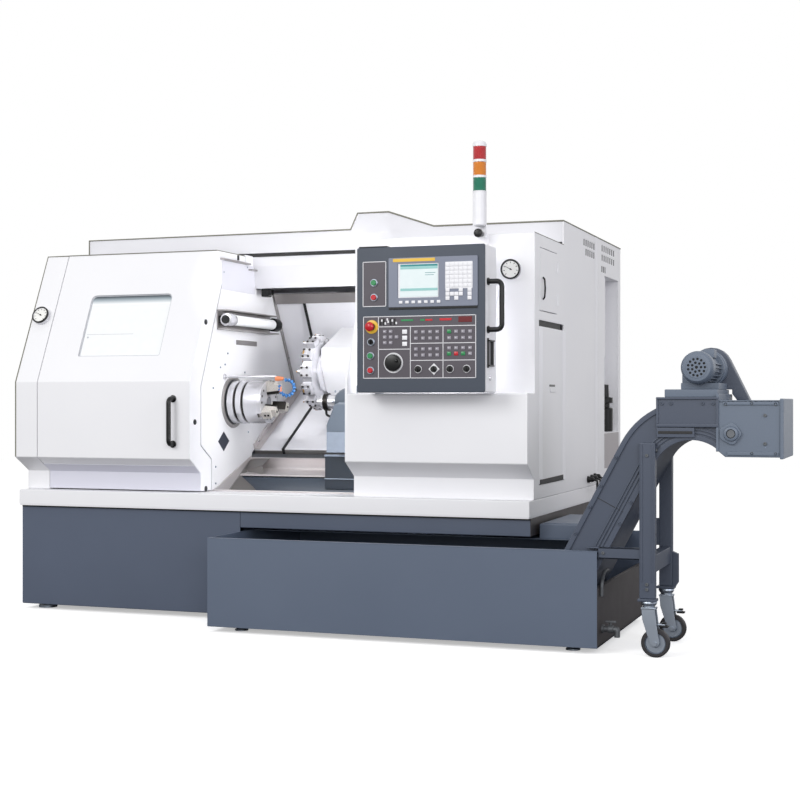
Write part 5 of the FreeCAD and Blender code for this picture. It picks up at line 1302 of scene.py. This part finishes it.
repeat_item("letter_keys", "operator_panel", key_plastic,
            block((-9, -8.2, 0), (9, 8.2, 3.5), 1),
            [((x, -226.5, z), OUT_FRONT) for x, z in letter_places])
print("letter keys:", len(letter_places))

# %% [markdown]
# ### Keys, dials and buttons
# The rows of keys sit in their framed fields. The emergency stop is a red mushroom on a
# yellow collar; dials have a pointed grip so that their setting can be felt.

# %% Keys on the foil
FOIL_FACE = -221
grey_places = [(2124 + 32 * c, up) for c in range(4) for up in (1311, 1284, 1238, 1212)]
grey_places += [(2273 + 31 * c, 1311) for c in range(1, 4)]
grey_places += [(2273 + 31 * c, 1284) for c in range(4)]
grey_places += [(2273 + 31 * c, 1241) for c in range(4)] + [(2366, 1217)]
grey_places += [(1982 + 27 * c, 1315 - 24 * r) for c in range(3) for r in range(3)
                if (c, r) not in ((2, 0), (2, 2))]
repeat_item("machine_keys", "operator_panel", grey_key, block((-8, -7, 0), (8, 7, 3), 1),
            [((x, FOIL_FACE, z), OUT_FRONT) for x, z in grey_places])
repeat_item("white_keys", "operator_panel", key_plastic, block((-11, -9, 0), (11, 9, 3), 1),
            [((2073, FOIL_FACE, z), OUT_FRONT) for z in (1261, 1287, 1313)])
repeat_item("green_keys", "operator_panel", green_plastic, block((-9, -8, 0), (9, 8, 3), 1),
            [((x, FOIL_FACE, z), OUT_FRONT) for x, z in ((2273, 1311), (2273, 1217), (2335, 1217))])
repeat_item("red_keys", "operator_panel", red_plastic, block((-9, -8, 0), (9, 8, 3), 1),
            [((2304, FOIL_FACE, 1217), OUT_FRONT)])
dress("green_legends", "operator_panel", green_plastic, [
    block((2056, -222.5, 1358), (2112, -221, 1366), 0.3),
    block((2144, -222.5, 1358), (2164, -221, 1366), 0.3)])
dress("red_legends", "operator_panel", red_plastic, [
    block((2230, -222.5, 1358), (2284, -221, 1368), 0.3),
    block((2166, -222.5, 1358), (2198, -221, 1366), 0.3)])
dress("speed_display", "operator_panel",
      moulded("dark red display", "red_plastic", "#6e1119", "#5c0c13", 0.2), [
          block((2314, -222.5, 1350), (2374, -221, 1374), 0.5)])
dress("foil_lamps", "operator_panel", black_plastic, [
    block((left, -222.5, 1343), (left + 9, -221, 1371), 0.5) for left in (1958, 1972, 2004, 2022)])
dress("foil_switches", "operator_panel", pale_plastic, [
    block((left, -222.8, low), (left + 7, -221, low + 10), 0.5)
    for left, low in ((1965, 1358), (1981, 1345), (1994, 1352), (2013, 1357), (2031, 1346),
                      (1990, 1362))])
dress("key_legends", "operator_panel", pale_plastic, [
    block((x - 6, -224.6, z - 1), (x + 2, -224, z + 1), 0.2) for x, z in grey_places])

# %% Buttons, dials and the handwheel
dress("stop_collar", "operator_panel", yellow_plastic, [
    turned([(-221, 16), (-221, 30), (-225, 29), (-226, 24), (-226, 16)], "y", (1922, 0, 1336), 32,
           loop=True)])
dress("stop_mushroom", "stop_button", red_plastic, [
    turned([(-222, 0), (-222, 8.5), (-232, 8.5), (-235, 18), (-242, 20), (-247, 14), (-248, 0)],
           "y", (1918, 0, 1337), 32)], "emergency_stop")
rings = [turned([(-220, 12.7), (-220, 17), (-224, 17), (-226, 15), (-226, 12.7)], "y", (x, 0, z),
                24, loop=True)
         for x, z in ((1916, 1211), (1916, 1148), (1932, 1526), (1932, 1463), (1918, 1271))]
dress("button_rings", "operator_panel", zinc_steel, rings)
for name, body, finish, place, stands_for in (
        ("start_cap", "start_button", green_plastic, (1916, 1211), "cycle_start"),
        ("hold_cap", "hold_button", red_plastic, (1916, 1148), "feed_hold"),
        ("power_on_cap", "operator_panel", green_plastic, (1932, 1526), ()),
        ("power_off_cap", "operator_panel", red_plastic, (1932, 1463), ())):
    dress(name, body, finish, [
        turned([(-221, 0), (-221, 12), (-231, 12), (-233, 10), (-233, 0)], "y",
               (place[0], 0, place[1]), 24)],
        stands_for)
dress("key_switch", "operator_panel", black_plastic, [
    turned([(-224, 0), (-224, 12), (-232, 11), (-232, 0)], "y", (1918, 0, 1271), 24),
    block((1915, -246, 1262), (1921, -231, 1280), 1)])
for k, along in enumerate((2133, 2205, 2276, 2350)):
    if k == 1:
        plate = slab([(along - 25, 1152), (along, 1127), (along + 25, 1152), (along, 1177)],
                     -221.8, -220.5, "y", edge=0.3)
    else:
        plate = turned([(-221, 14), (-221.8, 16), (-221, 17)], "y", (along, 0, 1152), 32)
    dress(f"dial_plate_{k + 1}", "operator_panel", pale_plastic, [plate])
    dress(f"dial_knob_{k + 1}", f"selector_{k + 1}", black_plastic, [
        turned([(-222, 0), (-222, 14), (-233, 12.5), (-234, 11), (-234, 0)], "y", (along, 0, 1152),
               24),
        block((along - 3, -240, 1140), (along + 3, -232, 1164), 1)], f"dial_{k + 1}")
WHEEL_AXIS = (2021, 0, 1180)
dress("handwheel_rim", "wheel_knob", black_plastic, [
    turned([(-222, 0), (-222, 36), (-228, 37), (-236, 35), (-239, 31), (-239, 0)], "y", WHEEL_AXIS,
           48),
    turned([(-238, 0), (-238, 7), (-250, 6), (-251, 4), (-251, 0)], "y", (2042, 0, 1188), 16)],
      "handwheel", slot="chrome_plate")
dress("handwheel_scale", "operator_panel", pale_plastic, [
    turned([(-221, 36.5), (-222.5, 43), (-221, 44)], "y", WHEEL_AXIS, 48)])
dress("panel_grip", "operator_panel", black_plastic, [
    tube([(2431, -180, 1318), (2493, -180, 1318), (2493, -180, 1522), (2431, -180, 1522)], 11, 22,
         4),
    turned([(2431, 16), (2437, 16), (2438, 11)], "x", (0, -180, 1318), 20),
    turned([(2431, 16), (2437, 16), (2438, 11)], "x", (0, -180, 1522), 20)], "panel_handle")
dress("panel_latch", "operator_panel", turned_steel, [
    turned([(2431, 0), (2431, 12), (2436, 11), (2436, 0)], "x", (0, -150, 1114), 20),
    block((2431, -176, 1168), (2434, -134, 1270), 1)], slot="zinc_steel")
dress("panel_latch_bar", "operator_panel", black_plastic, [
    block((2434, -146, 1166), (2446, -134, 1272), 3),
    block((2431, -190, 1156), (2438, -182, 1282), 1),
    block((2431, -190, 1162), (2444, -118, 1169), 2),
    block((2431, -190, 1268), (2444, -112, 1275), 2)])

# %% [markdown]
# ## Coolant tank
# The tank is folded sheet that slides into the base. Its right wall is low, and a valve
# and a short pipe stand out of it.

# %% Coolant tank
dress("tank_sheets", "machine", tank_enamel, [
    block((1200, -362, 25), (2938, -356, 415), 2.5), block((1200, -362, 411), (2938, -336, 415), 1),
    block((1200, -356, 25), (1206, 640, 415), 2), block((2931, -356, 25), (2936, 640, 264), 2),
    block((1206, 634, 25), (2932, 640, 415), 2),
    block((1200, -356, 25), (2938, 640, 33), 1), block((1201, 93, 411), (2878, 639, 415), 1),
    block((2585, 95, 414), (2790, 630, 480), 5), block((2600, 110, 478), (2775, 615, 484), 2),
], "coolant_tank")
# The tank's right end is coated dark brown as painted shade.
dress("tank_end_plate", "machine", end_face_shade_primer, [
    block((2935, -355, 26), (2938, 639, 265), 1), block((2920, -355, 262), (2938, 639, 265.5), 1)])
dress("tank_feet", "machine", zinc_steel, [
    turned([(0, 0), (0, 30), (6, 30), (10, 16), (27, 16)], "z", (along, back, 0), 20)
    for along in (1320, 2818) for back in (-262, 540)])
dress("drain_valve", "machine", cast_iron, [
    turned([(2938, 0), (2938, 18), (2946, 18), (2948, 12), (2962, 12), (2964, 17), (2984, 17),
            (2986, 12), (3000, 12), (3000, 0)], "x", (0, -265, 92), 16),
    tube([(2974, -265, 92), (2974, -265, 122)], 6), block((2952, -272, 118), (2996, -258, 126), 2),
    tube([(2990, -265, 92), (3000, -265, 92), (3000, -265, 60)], 12, 6)])
dress("tank_pipe", "machine", cast_iron, [
    tube([(2944, -300, 228), (2944, -300, 280), (2944, -250, 322), (2944, -180, 322)], 8, 40)],
      slot="polished_sheet")


# %% [markdown]
# ## Chip conveyor
# The casing runs flat through the tank, climbs at 62 degrees and turns over at the top.
# Every rib and flange on it is a band between two lines that keep their distance from the
# lower edge, so one function gives those lines.


# %% Lines along the conveyor
CLIMB_DEGREES = 62
FOOT_ALONG, FOOT_UP, FOOT_RADIUS = 2592, 350, 307
CREST_ALONG, CREST_UP, CREST_RADIUS = 3307, 704, 158


def run_line(lift, start=1262.0, end=3405.0):
    """The line along the conveyor at a height above its lower edge, as (along, up)."""
    lower, upper = FOOT_RADIUS - lift, CREST_RADIUS + lift
    line = [(start, 43 + lift)]
    for step in range(9):
        turn = math.radians(CLIMB_DEGREES * step / 8)
        line.append((FOOT_ALONG + lower * math.sin(turn), FOOT_UP - lower * math.cos(turn)))
    last = math.asin((end - CREST_ALONG) / upper)
    for step in range(15):
        turn = math.radians(-CLIMB_DEGREES) + (last + math.radians(CLIMB_DEGREES)) * step / 14
        line.append((CREST_ALONG + upper * math.sin(turn), CREST_UP + upper * math.cos(turn)))
    return line


def run_band(low, high, start=1262.0, end=3405.0):
    return run_line(low, start, end) + run_line(high, start, end)[::-1]


def climb_point(share, lift):
    """A point on the straight climb: share 0 at its foot and 1 at its top."""
    turn = math.radians(CLIMB_DEGREES)
    lower, upper = FOOT_RADIUS - lift, CREST_RADIUS + lift
    foot = (FOOT_ALONG + lower * math.sin(turn), FOOT_UP - lower * math.cos(turn))
    top = (CREST_ALONG - upper * math.sin(turn), CREST_UP + upper * math.cos(turn))
    return foot[0] + (top[0] - foot[0]) * share, foot[1] + (top[1] - foot[1]) * share


# %% Conveyor casing
dress("conveyor_casing_sheets", "machine", conveyor_enamel, [
    slab(run_band(0, 157), -318, -312, "y", edge=1.5),
    slab(run_band(0, 157), 72, 78, "y", edge=1.5),
    slab(run_band(0, 5), -316, 76, "y", edge=1),
    slab(run_band(152, 157, 2560), -316, 76, "y", edge=1),
    slab(run_band(0, 20), -326, -317, "y", edge=1.5),
    slab(run_band(137, 157), -326, -317, "y", edge=1.5),
    slab(run_band(26, 34), -322, -317, "y", edge=1.5), slab(run_band(0, 20), 77, 86, "y", edge=1.5),
    slab(run_band(137, 157), 77, 86, "y", edge=1.5),
    block((3169, -330, 913), (3413, 90, 1031), 3), block((3171, -336, 872), (3320, -324, 911), 2),
    slab(run_band(40, 45), -324, -317, "y", edge=1.2),
    slab(run_band(52, 56), -323, -317, "y", edge=1.2),
    block((3169, -338, 1022), (3413, -328, 1031), 2),
    block((3169, -338, 913), (3413, -328, 926), 2),
    block((3169, -334, 926), (3178, -328, 1022), 1.5),
    block((3404, -336, 913), (3413, -328, 1031), 1.5),
], "conveyor_casing")
seam_low, seam_high = climb_point(0.62, 20), climb_point(0.62, 137)
dress("casing_seam", "machine", black_rubber, [
    slab([seam_low, seam_high, (seam_high[0] - 2, seam_high[1] + 4),
          (seam_low[0] - 2, seam_low[1] + 4)],
         -319.5, -317, "y", edge=0.5),
    block((3178, -338, 886), (3312, -335, 897), 1)])
repeat_item("casing_bolts", "machine", conveyor_enamel, cap_screw(7, 6),
            [((along, -326, up), OUT_FRONT) for along, up in
             [climb_point(share, lift) for share in (0.18, 0.36, 0.55, 0.7, 0.9)
              for lift in (10, 147)]]
            + [((along, -330, 1006), OUT_FRONT) for along in (3192, 3228, 3352, 3392)])

# %% Conveyor head and bearing
SHAFT_AXIS = (3462, 0, 888)
head_side = [(3413, 818), (3438, 797), (3646, 797), (3646, 1019), (3413, 1019)]
dress("conveyor_head_box", "machine", head_enamel, [
    slab(head_side, -330, -318, "y", edge=3),
    slab(head_side, 78, 90, "y", edge=3),
    slab(rectangle(-330, 90, 1009, 1019), 3413, 3648, edge=2),
    slab(rectangle(-336, 96, 791, 1025, 3), 3646, 3660, edge=3),
    slab(rectangle(-334, 94, 818, 1044, 2), 3403, 3414, edge=2,
         holes=[rectangle(-312, 72, 846, 1000)]),
    block((3446, -336, 804), (3640, -329, 818), 2),
    block((3430, -336, 1000), (3640, -329, 1012), 2),
], "conveyor_head")
dress("head_bearing", "machine", head_enamel, [
    slab(soften([(3418, 868), (3470, 840), (3506, 888), (3470, 936), (3418, 908)], 18), -341, -330,
         "y", edge=2.5),
    turned([(-341, 0), (-341, 30), (-350, 27), (-352, 22), (-352, 18)], "y", SHAFT_AXIS, 32)])
dress("drive_shaft_end", "drive_shaft", cast_iron, [
    turned([(-350, 0), (-350, 15), (-347, 17), (108, 17), (108, 0)], "y", SHAFT_AXIS, 32),
    turned([(-278, 17), (-278, 50), (-266, 50), (-266, 17)], "y", SHAFT_AXIS, 12, loop=True),
    turned([(26, 17), (26, 50), (38, 50), (38, 17)], "y", SHAFT_AXIS, 12, loop=True)],
    "conveyor_shaft", slot="ground_steel")
repeat_item("head_bolts", "machine", cast_iron, cap_screw(7, 6),
            [((along, -330, up), OUT_FRONT) for along, up in
             ((3440, 1004), (3540, 1006), (3630, 1004), (3630, 812), (3540, 812), (3590, 960),
              (3590, 850))])

# %% Conveyor motor
fan_holes = [circle(0, 0, 6, 12)] + [circle(r * math.cos(t), r * math.sin(t), 5, 8)
                                     for r, n in ((18, 7), (33, 13))
                                     for t in [2 * math.pi * k / n for k in range(n)]]
motor_frame = MACHINE @ Matrix.Translation((3327, 0, 1148))
dress("motor_body", "machine", head_enamel, [
    slab(circle(0, 0, 43, 40), -330, -324, "y", fan_holes, 1),
    turned([(-329, 43), (-328, 54), (-318, 63), (-300, 65), (-252, 65), (-250, 58), (-250, 0)], "y",
           steps=48),
    turned([(-250, 0), (-250, 56), (-64, 56), (-64, 0)], "y", steps=48),
    turned([(-64, 0), (-64, 72), (-58, 74), (-40, 74), (-38, 78), (24, 78), (28, 74), (28, 0)], "y",
           steps=48),
    block((5, -190, 40), (50, -110, 76), 5), block((-75, -240, -86), (75, 20, -60), 3),
    block((-130, -300, -117), (78, 60, -86), 3), block((-98, -60, -86), (-60, 40, -20), 4),
], "conveyor_motor", motor_frame)
repeat_item("motor_fins", "machine", head_enamel, block((-1.6, -92, 0), (1.6, 92, 9), 0.6),
            [((57 * math.cos(t), -157, 57 * math.sin(t)), (math.cos(t), 0, math.sin(t)))
             for t in [2 * math.pi * k / 26 for k in range(26)] if not (0.4 < t < 1.5)],
            drawn_in=motor_frame)
dress("motor_core", "machine", black_plastic, [
    turned([(-322, 0), (-322, 40), (-310, 40), (-310, 0)], "y", steps=32)], drawn_in=motor_frame)
guard_outline = [(3492, 1019), (3410, 1187), (3397, 1208), (3380, 1224), (3358, 1235), (3334, 1238),
                 (3308, 1234), (3284, 1222), (3262, 1202), (3246, 1176), (3242, 1150), (3242, 1064),
                 (3420, 1064), (3420, 1046), (3440, 1019)]
dress("chain_guard_sheet", "machine", conveyor_enamel, [
    slab(guard_outline, 32, 96, "y", edge=4), slab(guard_outline, 92, 99, "y", edge=1.5),
], "chain_guard")

# %% Belt of the conveyor
dress("belt_band", "machine", black_steel, [
    slab(run_band(26, 36, 1300, 3390), -300, 60, "y", edge=1),
    slab(run_band(121, 131, 1300, 3390), -300, 60, "y", edge=1),
], "conveyor_belt")
slat_places = [((1320 + 36 * k, -120, 174), OUT_UP) for k in range(34)]
repeat_item("belt_slats", "machine", bright_steel,
            block((-15, -178, 0), (15, 178, 3), 1), slat_places, slot="black_oxide_steel")

# %% [markdown]
# ## Legs and castors
# Two square posts carry the head. They end in plates with swivel castors: a bright yoke,
# a brake pedal and a dark solid tyre.

# %% Legs
dress("leg_frames", "machine", conveyor_enamel, [
    block((3106, -356, 233), (3169, -318, 850), 4), block((3110, 78, 233), (3165, 118, 850), 4),
    block((3100, -362, 222), (3175, -312, 233), 2), block((3100, 72, 222), (3175, 124, 233), 2),
    block((2940, -348, 385), (3107, -342, 431), 1.5),
    block((2892, -348, 425), (3107, -318, 431), 1.5),
    block((2940, -348, 385), (3107, -330, 391), 1.5), block((3116, -319, 330), (3159, 79, 400), 3),
    block((3040, 80, 405), (3112, 92, 520), 2), block((3114, -359, 300), (3120, -354, 845), 1.5),
    block((3155, -359, 300), (3161, -354, 845), 1.5),
    slab([(3165, 380), (3190, 370), (3190, 250), (3172, 222), (3165, 222)], 84, 112, "y", edge=2),
    slab([(3150, -1), (3176, -1), (3176, 1), (3150, 1)], 835, 850, "z", edge=1),
], "conveyor_legs")
repeat_item("leg_bolts", "machine", cast_iron, cap_screw(7, 6),
            [((3137, -356, 290), OUT_FRONT), ((3137, -356, 270), OUT_FRONT),
             ((3137, -356, 800), OUT_FRONT),
             ((3169, -337, 820), OUT_RIGHT), ((2960, -348, 408), OUT_FRONT),
             ((3165, 98, 350), OUT_RIGHT)])

# %% Castors
for index, (side, back) in enumerate((("front", -328), ("rear", 88))):
    fork = MACHINE @ Matrix.Translation((3140, back, 0))
    cheek = [(-26, 196), (-22, 150), (8, 56), (16, 44), (38, 44), (46, 58), (36, 120), (26, 196)]
    dress(f"castor_yoke_{index + 1}", f"{side}_fork", zinc_steel, [
        turned([(222, 0), (222, 31), (216, 33), (206, 28), (204, 24), (196, 24), (194, 0)], "z",
               steps=32),
        slab(cheek, 21, 26, "y", edge=1.2, bend=6), slab(cheek, -26, -21, "y", edge=1.2, bend=6),
        block((-28, -26, 190), (30, 26, 198), 2),
        turned([(-32, 0), (-32, 9), (-27, 9), (-27, 6), (27, 6), (27, 9), (32, 9), (32, 0)], "y",
               (27, 0, 57), 12),
        block((34, -14, 128), (66, 14, 134), 2)], f"caster_fork_{index + 1}", fork)
    dress(f"castor_pedal_{index + 1}", f"{side}_fork", black_plastic, [
        block((44, -13, 120), (78, 13, 129), 3), block((52, -10, 132), (70, 10, 140), 2)],
          drawn_in=fork)
    wheel = MACHINE @ Matrix.Translation((3167, back, 57))
    dress(f"castor_tyre_{index + 1}", f"{side}_wheel", tyre_rubber, [
        turned([(-15, 42), (-15, 52), (-10, 57), (10, 57), (15, 52), (15, 42)], "y", steps=40,
               loop=True)],
        f"caster_wheel_{index + 1}", wheel)
    dress(f"castor_hub_{index + 1}", f"{side}_wheel", zinc_steel, [
        turned([(-17, 7), (-17, 14), (-8, 18), (-8, 38), (-14, 42), (14, 42), (8, 38), (8, 18),
                (17, 14), (17, 7)],
               "y", steps=32, loop=True)], drawn_in=wheel)

# %% [markdown]
# ## Finishes for the CAD pieces that stay
# The castings inside, the spindle, the levelling pads and the tower's bracket already have
# the right shape, so they keep their solids and only get a finish.

# %% Finishes on carried pieces
for node, finish in (("levelling_pads", zinc_steel), ("slant_bed", cast_iron),
                     ("headstock", cast_iron), ("saddle", cast_iron),
                     ("spindle", turned_steel), ("tower_bracket", white_enamel)):
    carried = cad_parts[node]
    carried.data.materials.clear()
    carried.data.materials.append(finish)

# %% [markdown]
# ## Light, floor and camera
# The machine stands on a white floor under large soft lights: the key from the left front, a
# weaker fill and a side light from the right. Three small lamps light the chamber. The
# background is full white where the camera or a reflection sees it, and dimmer as a light.
# The floor is grey for light and white for the camera, so it doesn't flood the machine.

# %% Floor and world
world = bpy.data.worlds.new("studio")
bpy.context.scene.world = world
world.use_nodes = True
tree = world.node_tree
tree.nodes.clear()
path = add_node(tree, "ShaderNodeLightPath")
seen = add_node(tree, "ShaderNodeMath",
                {0: path.outputs["Is Camera Ray"], 1: path.outputs["Is Glossy Ray"]},
                operation="MAXIMUM")
seen = add_node(tree, "ShaderNodeMath",
                {0: seen.outputs[0], 1: path.outputs["Is Transmission Ray"]}, operation="MAXIMUM")
dim = add_node(tree, "ShaderNodeBackground", {"Color": (1, 1, 1, 1), "Strength": 0.62})
bright = add_node(tree, "ShaderNodeBackground", {"Color": (1, 1, 1, 1), "Strength": 1.0})
mixed = add_node(tree, "ShaderNodeMixShader",
                 {0: seen.outputs[0], 1: dim.outputs[0], 2: bright.outputs[0]})
add_node(tree, "ShaderNodeOutputWorld", {"Surface": mixed.outputs[0]})

floor_mesh = bpy.data.meshes.new("floor")
floor_mesh.from_pydata([(-14, -14, 0), (14, -14, 0), (14, 14, 0), (-14, 14, 0)], [], [(0, 1, 2, 3)])
floor = place_in_scene("floor", floor_mesh)
floor_paint = bpy.data.materials.new("white studio floor")
floor_paint.use_nodes = True
tree = floor_paint.node_tree
tree.nodes.clear()
path = add_node(tree, "ShaderNodeLightPath")
matt = add_node(tree, "ShaderNodeBsdfDiffuse", {"Color": linear("#8c8c8e")})
matt_seen = add_node(tree, "ShaderNodeBsdfDiffuse", {"Color": (1, 1, 1, 1)})
lift = add_node(tree, "ShaderNodeEmission", {"Color": (1, 1, 1, 1), "Strength": 0.45})
seen_floor = add_node(tree, "ShaderNodeAddShader", {0: matt_seen.outputs[0], 1: lift.outputs[0]})
choice = add_node(tree, "ShaderNodeMixShader",
                  {0: path.outputs["Is Camera Ray"], 1: matt.outputs[0], 2: seen_floor.outputs[0]})
add_node(tree, "ShaderNodeOutputMaterial", {"Surface": choice.outputs[0]})
floor_mesh.materials.append(floor_paint)


# %% Lamps
def aim_lamp(name, lamp, spot, aim):
    holder = place_in_scene(name, lamp)
    holder.location = spot
    holder.rotation_euler = (Vector(aim) - Vector(spot)).to_track_quat("-Z", "Y").to_euler()


def soft_lamp(name, spot, aim, size, watts, colour=(1, 1, 1)):
    lamp = bpy.data.lights.new(name, "AREA")
    lamp.color = colour
    lamp.shape = "RECTANGLE"
    lamp.size, lamp.size_y = size
    lamp.energy = watts
    aim_lamp(name, lamp, spot, aim)


def beam(name, spot, aim, width, watts):
    """A narrow spotlight, so that only the chamber gets its light."""
    lamp = bpy.data.lights.new(name, "SPOT")
    lamp.spot_size = math.radians(width)
    lamp.spot_blend = 0.4
    lamp.shadow_soft_size = 0.12
    lamp.energy = watts
    aim_lamp(name, lamp, spot, aim)


soft_lamp("key", (-3.2, -8.0, 4.4), (0.0, 0.0, 0.9), (3.5, 3.0), 252)
soft_lamp("fill", (3.2, -8.0, 2.6), (0.2, 0.0, 1.0), (4.0, 3.0), 165)
soft_lamp("side", (7.0, -3.0, 3.0), (0.7, 0.3, 1.0), (3.0, 3.0), 88, (0.89, 0.88, 1.0))
soft_lamp("top", (0.0, -1.5, 6.5), (0.0, 0.2, 0.0), (5.0, 4.0), 12)
soft_lamp("chamber", (0.45, -0.60, 1.38), (-0.75, -0.45, 1.1), (0.6, 0.4), 10)
soft_lamp("chamber low", (0.30, -0.62, 0.90), (-0.70, -0.2, 0.85), (0.5, 0.3), 6.5)
beam("chamber from above", (-0.71, -3.4, 4.2), (-0.71, 0.05, 0.98), 6.0, 430)

# %% Camera
LENS_MM, EYE_HEIGHT, YAW_DEGREES = 65.745, 1.0118, 19.8
camera_data = bpy.data.cameras.new("camera")
camera_data.lens = LENS_MM
camera_data.sensor_width = 36
camera_data.shift_y = 0.0025
camera_data.clip_end = 60
camera = place_in_scene("camera", camera_data)
camera.location = (4.175 - 1.830, -6.12 - 0.799, EYE_HEIGHT)
camera.rotation_euler = (math.radians(90), 0, math.radians(YAW_DEGREES))
bpy.context.scene.camera = camera
bpy.context.scene.view_settings.view_transform = "Standard"

# %% Sizes and finish
print(len(made), "pieces with", sum(made.values()), "faces")
